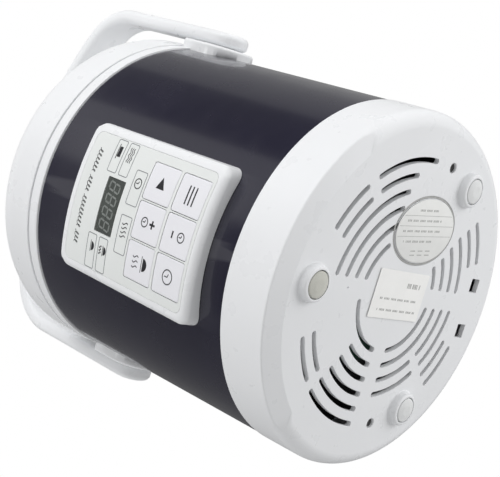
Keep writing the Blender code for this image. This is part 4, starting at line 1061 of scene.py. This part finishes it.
def digit_segments(half_width, half_height, thick):
    """The seven slanted bars of one digit."""
    slant = 0.16
    bars = []
    for v in (-half_height, 0.0, half_height):
        bars.append(((-half_width, v), (half_width, v)))
    for u in (-half_width, half_width):
        bars.append(((u, -half_height), (u, 0.0)))
        bars.append(((u, 0.0), (u, half_height)))
    outlines = []
    for start, end in bars:
        start, end = Vector(start), Vector(end)
        along = (end - start).normalized()
        across = Vector((-along.y, along.x)) * thick / 2
        start, end = start + along * 0.00018, end - along * 0.00018
        nose = along * thick / 2
        points = (start, start + nose + across, end - nose + across, end, end - nose - across,
                  start + nose - across)
        outlines.append([(p.x + slant * p.y, p.y) for p in points])
    return outlines


# ---- lid
LID_SHOULDER = 0.020
LID_WALL_TOP = 0.2103
BUTTON_Y = (BUTTON_BOX[0].y + BUTTON_BOX[1].y) / 2
STEAM_Y = (CAP_BOX[0].y + CAP_BOX[1].y) / 2


def dome_z(radius, inset=0.0):
    rise = LID_TOP - (LID_WALL_TOP + LID_SHOULDER)
    flat = LID_R - LID_SHOULDER
    curve = (flat ** 2 + rise ** 2) / (2 * rise)
    return LID_TOP - curve + math.sqrt((curve - inset) ** 2 - radius ** 2)


def lid_outline(inset, low, bends=14):
    centre = (LID_R - LID_SHOULDER, LID_WALL_TOP)
    points = [(LID_R - inset, low), (LID_R - inset, low + 0.004)]
    points += arc(centre, LID_SHOULDER - inset, 0, 86, bends)
    crown = [centre[0] * (1 - i / 8) for i in range(1, 9)]
    return points + [(max(r, 0.0), dome_z(r, inset)) for r in crown]


def button_outline(grow=0.0):
    low, high = BUTTON_BOX
    return box_outline((low.x - grow, BUTTON_Y - 0.009 - grow), (high.x + grow, BUTTON_Y + 0.009 + grow),
                       0.0080 + grow, 10)


def make_lid_shell():
    low = SEAM_Z + 0.0003
    outer = lid_outline(0.0, low)
    outer[0] = (LID_R - 0.0006, low)
    outer.insert(1, (LID_R - 0.0002, low + 0.0002))
    outer.insert(2, (LID_R, low + 0.0006))
    inner = lid_outline(0.0026, low, bends=8)
    shell = raw("lid_dome", revolve(bmesh.new(), list(reversed(outer)) + inner, ROUND))
    roll = rod(bmesh.new(), KNUCKLE_R, (-0.012, *KNUCKLE), (0.012, *KNUCKLE), steps=48, ease=0.0006)
    web = block(bmesh.new(), (-0.0114, 0.0941, SEAM_Z + 0.001), (0.0114, HINGE_Y + 0.002, SEAM_Z + 0.0085))
    pin_bore = rod(bmesh.new(), PIN_BORE_R, (-0.0126, *KNUCKLE), (0.0126, *KNUCKLE), steps=32)
    bores = bmesh.new()
    for x0, x1 in both_sides(0.0122, 0.0262):
        block(bores, (x0, 0.088, 0.190), (x1, 0.110, 0.2015))
    rod(bores, 0.0130, (0, STEAM_Y, 0.225), (0, STEAM_Y, 0.245), steps=64)
    hole = prism(bmesh.new(), button_outline(GAP), 0.222, 0.245)
    carve(shell, [roll, web], [pin_bore, bores, hole])
    dress(shell, "white_abs", "lid", ["lid_shell"])


def make_lid_button():
    """The push button: a slightly dished cap with a stem."""
    top = BUTTON_BOX[1].z
    stack = [(button_outline(), 0.2270), (button_outline(), top - 0.0008)]
    for k in range(1, 5):
        t = math.radians(90 * k / 4)
        stack.append((button_outline(-0.0008 * (1 - math.cos(t))), top - 0.0008 * (1 - math.sin(t))))
    stack.append((button_outline(-0.0022), top - 0.00005))
    stack.append((button_outline(-0.0045), top - 0.00035))
    cap = raw("button_cap", layers(bmesh.new(), stack))
    stem = rod(bmesh.new(), 0.0030, (0, BUTTON_Y, BUTTON_BOX[0].z), (0, BUTTON_Y, 0.2275), ease=0.0004)
    carve(cap, [stem])
    dress(cap, "white_abs", "lid_button", ["lid_button"])


def make_steam_cap():
    low, top = 0.2371, CAP_BOX[1].z
    profile = softened([(0, low, 0), (0.0098, low, 0), (0.0098, 0.2290, 0.0003), (0.0126, 0.2290, 0.0003),
                        (0.0126, low, 0), (0.0170, low, 0.0004), (0.0170, low + 0.0010, 0.0005),
                        (0.0156, top, 0.0008), (0.0100, top - 0.0002, 0.0010), (0, top - 0.0006, 0)], 4)
    cap = raw("steam_cover", revolve(bmesh.new(), profile, 96, (0, STEAM_Y, 0)))
    slots = bmesh.new()
    for i in range(3):
        x = (i - 1) * 0.0045
        outline = box_outline((x - 0.001, STEAM_Y - 0.006), (x + 0.001, STEAM_Y + 0.006), 0.00095, 5)
        prism(slots, outline, 0.230, 0.245)
    carve(cap, [], [slots])
    dress(cap, "white_abs", "lid", ["steam_cap"])


def make_lid_underside():
    """Inner cover, liner plate and seal, which show when the lid is open."""
    low, high = SEAM_Z + 0.0003, SEAM_Z + 0.0028
    cover = raw("inner_cover", revolve(bmesh.new(), softened(
        [(0, low, 0), (0.0915, low, 0.0004), (0.0915, high, 0.0004), (0, high, 0)], 3)))
    bridge = block(bmesh.new(), (-0.0110, -0.074, high - 0.0005), (0.0110, -0.058, 0.2060))
    stop = block(bmesh.new(), (-0.005, -0.0480, high - 0.0005), (0.005, -0.0450, 0.2030))
    tunnel = block(bmesh.new(), (-0.0085, -0.080, high), (0.0085, -0.054, 0.2035))
    holes = bmesh.new()
    rod(holes, STEAM_HOLE_R, (0, STEAM_Y, 0.190), (0, STEAM_Y, 0.200), steps=48)
    rod(holes, 0.0034, (0, BUTTON_Y, 0.2030), (0, BUTTON_Y, 0.210))
    rod(holes, GROMMET_HOLE_R, (0, 0, 0.190), (0, 0, 0.200))
    block(holes, (-0.0078, -0.0935, 0.190), (0.0078, -0.0850, 0.200))
    block(holes, (-0.0262, 0.0885, 0.190), (0.0262, 0.095, 0.200))
    carve(cover, [bridge, stop], [tunnel, holes])
    dress(cover, "white_abs", "lid", ["lid_inner_cover"])

    plate_top = SEAM_Z - 0.0012
    under, pressed = plate_top - 0.001, plate_top - 0.0007
    profile = softened([(0, under, 0), (0.0300, under, 0), (0.0306, pressed, 0), (0.0560, pressed, 0),
                        (0.0566, under, 0), (0.0792, under, 0.0003), (0.0792, plate_top, 0.0003),
                        (0, plate_top, 0)], 3)
    plate = raw("lining_plate", revolve(bmesh.new(), profile))
    holes = bmesh.new()
    rod(holes, GROMMET_HOLE_R, (0, 0, 0.188), (0, 0, 0.198))
    rod(holes, STEAM_HOLE_R, (0, STEAM_Y, 0.188), (0, STEAM_Y, 0.198), steps=48)
    carve(plate, [], [holes])
    dress(plate, "bare_aluminium", "lid", ["lid_liner_plate"])

    seal_low = POT_BOX[1].z + GAP
    seal_top = SEAM_Z - GAP
    profile = softened([(0.0795, seal_low + 0.0008, 0), (0.0803, seal_low, 0.0004),
                        (0.0812, seal_low + 0.0009, 0.0003), (0.0826, seal_low, 0.0004),
                        (0.0838, seal_low, 0.0004), (0.0845, seal_low + 0.0008, 0.0003),
                        (0.0845, seal_top, 0.0002), (0.0795, seal_top, 0.0002)], 3)
    piece("lid_seal", revolve(bmesh.new(), profile), "silicone", "lid", ["lid_gasket"])


# ---- pot
def make_pot():
    low, rim_top = POT_BOX[0].z, POT_BOX[1].z
    radius, wall, bend = 0.079, 0.0015, 0.018
    rim_r = POT_BOX[1].x
    outer = arc((radius - bend, low + bend), bend, -90, 0, 12)
    inner = arc((radius - bend, low + bend), bend - wall, 0, -90, 12)
    rim = [(radius, rim_top - 0.0018), (radius + 0.0006, rim_top - 0.0012),
           (rim_r - 0.0008, rim_top - 0.0012), (rim_r - 0.0001, rim_top - 0.0010),
           (rim_r, rim_top - 0.0006), (rim_r - 0.0001, rim_top - 0.0002), (rim_r - 0.0006, rim_top),
           (radius, rim_top), (radius - wall + 0.0004, rim_top - 0.0002), (radius - wall, rim_top - 0.0008)]
    profile = [(0, low)] + outer + rim + inner + [(0, low + wall)]
    piece("cooking_pot", revolve(bmesh.new(), profile), "pot_coating", "root", ["inner_pot"])


# ---- bail
ARM_OUT = BAIL_BOX[1].x
ARM_THICK = 0.0085
ARM_HALF = BAIL_BOX[1].y
BAIL_TOP = BAIL_BOX[1].z
CROWN_R = 0.1718
CORNER_R = 0.040
BAIL_EASE = 0.0034


def bail_route():
    """Middle line of the bail: up one arm, over the crown and down the other, past both pivots."""
    mid = ARM_OUT - ARM_THICK / 2
    crown, corner = CROWN_R - ARM_THICK / 2, CORNER_R - ARM_THICK / 2
    crown_z = BAIL_TOP - CROWN_R
    across, reach = ARM_OUT - CORNER_R, CROWN_R - CORNER_R
    corner_z = crown_z + math.sqrt(reach ** 2 - across ** 2)
    lean = math.degrees(math.acos(across / reach))
    below = (88, 80, 70, 60, 50, 40, 30, 20, 10, 0)
    half = [(mid, PIVOT_Z - ARM_HALF * math.sin(math.radians(a))) for a in below]
    half += [(mid, PIVOT_Z + (corner_z - PIVOT_Z) * k / 8) for k in range(1, 8)]
    half += arc((across, corner_z), corner, 0, lean, 14)
    half += arc((0, crown_z), crown, lean, 90, 20)[1:]
    left = [Vector((-x, 0, z)) for x, z in half]
    right = [Vector((x, 0, z)) for x, z in reversed(half[:-1])]
    return left + right


def bail_thickness(across, below):
    """Half the bail's thickness at this place: eased near every edge, round its ends too."""
    to_edge = ARM_HALF - math.hypot(across, below)
    short = max(0.0, BAIL_EASE - to_edge)
    return ARM_THICK / 2 - BAIL_EASE + math.sqrt(max(0.0, BAIL_EASE ** 2 - short ** 2))


def make_bail():
    route = bail_route()
    bm = bmesh.new()
    rings = []
    steps = 18
    for i, point in enumerate(route):
        ahead = (route[min(i + 1, len(route) - 1)] - route[max(i - 1, 0)]).normalized()
        outward = ahead.cross(Vector((0, 1, 0)))
        below = max(0.0, PIVOT_Z - point.z)
        half = math.sqrt(max(0.0, ARM_HALF ** 2 - below ** 2))
        widths = [half * math.sin(math.radians(-90 + 180 * k / steps)) for k in range(steps + 1)]
        ring = [bm.verts.new(point + Vector((0, w, 0)) + outward * bail_thickness(w, below)) for w in widths]
        ring += [bm.verts.new(point + Vector((0, w, 0)) - outward * bail_thickness(w, below))
                 for w in reversed(widths)]
        rings.append(ring)
    skin(bm, rings, caps=True)
    bail = raw("bail_arch", bm)
    bores = bmesh.new()
    inner = ARM_OUT - ARM_THICK
    for side in (-1, 1):
        rod(bores, BUSH_BORE_R, (side * (inner - 0.005), 0, PIVOT_Z), (side * 0.1063, 0, PIVOT_Z), steps=48)
    carve(bail, [], [bores])
    dress(bail, "white_abs", "bail", ["bail_handle"])


# ---- supply inlet
def make_inlet():
    low, high = INLET_BOX
    outline = box_outline((low.x, low.z), (high.x, high.z), 0.0008, 4)
    eased = box_outline((low.x + 0.0004, low.z + 0.0004), (high.x - 0.0004, high.z - 0.0004), 0.0006, 4)
    body = raw("inlet_body", layers(bmesh.new(), [(outline, low.y), (outline, high.y - 0.0005),
                                                  (eased, high.y)], facing_y))
    mouth = box_outline((-0.0095, 0.0178), (0.0095, 0.0262), 0.002, 6)
    wide = box_outline((-0.0098, 0.0175), (0.0098, 0.0265), 0.0023, 6)
    steps = [(mouth, 0.078), (mouth, high.y - 0.0004), (wide, high.y), (wide, high.y + 0.002)]
    hole = layers(bmesh.new(), steps, facing_y)
    pins = bmesh.new()
    for x in (-0.005, 0.005):
        rod(pins, 0.0015, (x, 0.070, 0.022), (x, 0.080, 0.022), steps=24)
    carve(body, [], [hole, pins])
    dress(body, "black_plastic", "root", ["power_inlet"])
    for side, x in (("left", -0.005), ("right", 0.005)):
        bm = rod(bmesh.new(), 0.0012, (x, 0.0725, 0.022), (x, 0.0925, 0.022), steps=32, ease=0.0007)
        piece("pin_" + side, bm, "pin_brass", "root", ["inlet_pin_" + side])


# ---- carried-over nodes
CARRIED = {
    "dark_steel": ("base_screw_left", "base_screw_right"),
    "bright_steel": ("board_screw_left", "board_screw_right", "hinge_pin",
                     "heating_element", "sensor_bracket", "sensor_spring", "button_spring", "latch_spring",
                     "thermal_fuse"),
    "bare_aluminium": ("inner_liner", "heating_plate", "temperature_sensor", "heat_sink"),
    "black_plastic": ("support_frame", "power_relay", "power_capacitor", "handle_bush_left",
                      "handle_bush_right"),
    "silicone": ("liner_grommet", "steam_tube"),
    "circuit_board": ("power_board", "control_board"),
    "display_module": ("led_display",),
    "white_abs": ("lid_latch",),
    "label_plate": ("panel_cable",),
    "wire_red": ("inlet_lead_left", "inlet_lead_right"),
    "wire_white": ("heater_lead_left", "heater_lead_right", "sensor_lead"),
}


def dress_carried_nodes():
    for finish, names in CARRIED.items():
        for name in names:
            mesh = frame["nodes"][name].data
            mesh.materials.clear()
            mesh.materials.append(FINISH[finish])


# ---- floor, lights and camera
CAMERA_AT = Vector((0.0640, -0.4798, -0.3092))
CAMERA_AIM = Vector((0.0150, -0.0246, 0.0786))
PICTURE_UP = Vector((0.95369, -0.12887, 0.27179))


def make_floor():
    """A pale floor, there only from above, so that the underside can be seen and lit from below."""
    half = 3.0
    bm = bmesh.new()
    bm.faces.new([bm.verts.new((x, y, -0.0002)) for x, y in ((-half, -half), (half, -half), (half, half),
                                                           (-half, half))])
    mesh = bpy.data.meshes.new("floor")
    bm.to_mesh(mesh)
    bm.free()
    floor = placed("floor", mesh)
    made = bpy.data.materials.new("floor_paper")
    made.use_nodes = True
    tree = made.node_tree
    paper = {"Base Color": (0.36, 0.36, 0.36, 1), "Roughness": 0.8, "Specular IOR Level": 0.0,
             "Emission Color": (1, 1, 1, 1), "Emission Strength": 0.56}
    shader = tree.nodes["Principled BSDF"]
    for entry, value in paper.items():
        feed(tree, shader.inputs[entry], value)
    away = node(tree, "VectorMath", node(tree, "NewGeometry").outputs["Position"])
    away.operation = "LENGTH"
    fade = ramp(tree, away.outputs["Value"], 0.35, 2.2, 0.0, 1.0)
    faded = node(tree, "MixShader", fade, shader.outputs[0], node(tree, "Emission").outputs[0])
    behind_it = node(tree, "NewGeometry").outputs["Backfacing"]
    mixed = node(tree, "MixShader", behind_it, faded.outputs[0], node(tree, "BsdfTransparent").outputs[0])
    feed(tree, tree.nodes["Material Output"].inputs["Surface"], mixed.outputs[0])
    mesh.materials.append(made)
    for rays in ("diffuse", "glossy", "transmission", "shadow"):
        setattr(floor, "visible_" + rays, False)


def soft_light(name, place, aim, size, power):
    light = bpy.data.lights.new(name, "AREA")
    light.shape = "SQUARE"
    light.size = size
    light.energy = power
    obj = placed(name, light)
    obj.location = place
    obj.rotation_euler = (Vector(aim) - Vector(place)).to_track_quat("-Z", "Y").to_euler()
    obj.visible_camera = False
    obj.visible_glossy = False


# (degrees round from the front, positive to the right; brightness) of what a glossy face reflects
STUDIO_ROUND = ((-180, 0.30), (-171, 0.30), (-169, 0.14), (-49, 0.14), (-47, 0.08), (8, 0.08), (16, 0.55),
                (58, 0.55), (62, 0.10), (100, 0.10), (105, 0.30), (140, 0.30), (142, 0.34), (180, 0.34))
AMBIENT = 0.56
# (name, way to it from the object, size, how bright it makes a face turned to it)
LIGHTS = (("key", (0.75, -0.6, 0.2), 0.8, 0.63), ("rim", (0.45, 0.55, -0.65), 0.9, 0.56),
          ("fill", (-0.8, -0.5, 0.4), 0.9, 0.30), ("over", (0.1, 0.4, 1.0), 1.0, 0.30))
LIGHT_DISTANCE = 1.1


def math_node(tree, operation, *values):
    made = node(tree, "Math", *values)
    made.operation = operation
    return made.outputs[0]


def studio_panels(tree):
    """Brightness of the dark and pale screens that stand round the object, for glossy reflections."""
    way = node(tree, "SeparateXYZ", node(tree, "TexCoord").outputs["Generated"])
    front = math_node(tree, "MULTIPLY", way.outputs["Y"], -1.0)
    angle = math_node(tree, "ARCTAN2", way.outputs["X"], front)
    share = math_node(tree, "MULTIPLY_ADD", angle, 0.5 / math.pi, 0.5)
    stops = node(tree, "ValToRGB", share)
    elements = stops.color_ramp.elements
    while len(elements) > 1:
        elements.remove(elements[0])
    for i, (degrees, level) in enumerate(STUDIO_ROUND):
        place = (degrees + 180) / 360
        if i:
            element = elements.new(place)
        else:
            element = elements[0]
            element.position = place
        element.color = (level, level, level, 1)
    steep = math_node(tree, "ABSOLUTE", way.outputs["Z"])
    return blended(tree, ramp(tree, steep, 0.75, 0.95, 0.0, 1.0), stops.outputs["Color"], (0.55, 0.55, 0.55))


def make_lights():
    world = bpy.data.worlds.new("studio")
    bpy.context.scene.world = world
    world.use_nodes = True
    tree = world.node_tree
    backdrop = tree.nodes["Background"]
    rays = node(tree, "LightPath")
    level = blended(tree, rays.outputs["Is Glossy Ray"], (AMBIENT, AMBIENT, AMBIENT), studio_panels(tree))
    level = blended(tree, rays.outputs["Is Camera Ray"], level, (1.0, 1.0, 1.0))
    feed(tree, backdrop.inputs["Color"], level)
    feed(tree, backdrop.inputs["Strength"], 1.0)
    middle = Vector((0, 0, 0.11))
    for name, way, size, strength in LIGHTS:
        place = middle + Vector(way).normalized() * LIGHT_DISTANCE
        soft_light(name, place, middle, size, strength * (math.pi * LIGHT_DISTANCE) ** 2)


def make_camera():
    camera = bpy.data.cameras.new("camera")
    camera.lens = 80.25
    camera.sensor_width = 36
    camera.shift_x = -0.0457
    camera.shift_y = -0.034
    camera.clip_start = 0.01
    obj = placed("camera", camera)
    back = (CAMERA_AT - CAMERA_AIM).normalized()
    right = PICTURE_UP.cross(back).normalized()
    up = back.cross(right)
    turn = obj.matrix_world.to_3x3()
    for i, column in enumerate((right, up, back)):
        turn.col[i] = column
    obj.matrix_world = turn.to_4x4()
    obj.location = CAMERA_AT
    bpy.context.scene.camera = obj
    bpy.context.scene.view_settings.view_transform = "Standard"


# ---- the visual model
make_camera()
make_base_cover()
make_rating_plate()
make_base_label()
make_feet()
make_outer_band()
make_upper_ring()
make_panel_housing()
make_panel_film()
make_keys()
make_key_icons()
make_panel_print()
make_display()
make_lid_shell()
make_lid_button()
make_steam_cap()
make_lid_underside()
make_pot()
make_bail()
make_inlet()
dress_carried_nodes()
make_floor()
make_lights()
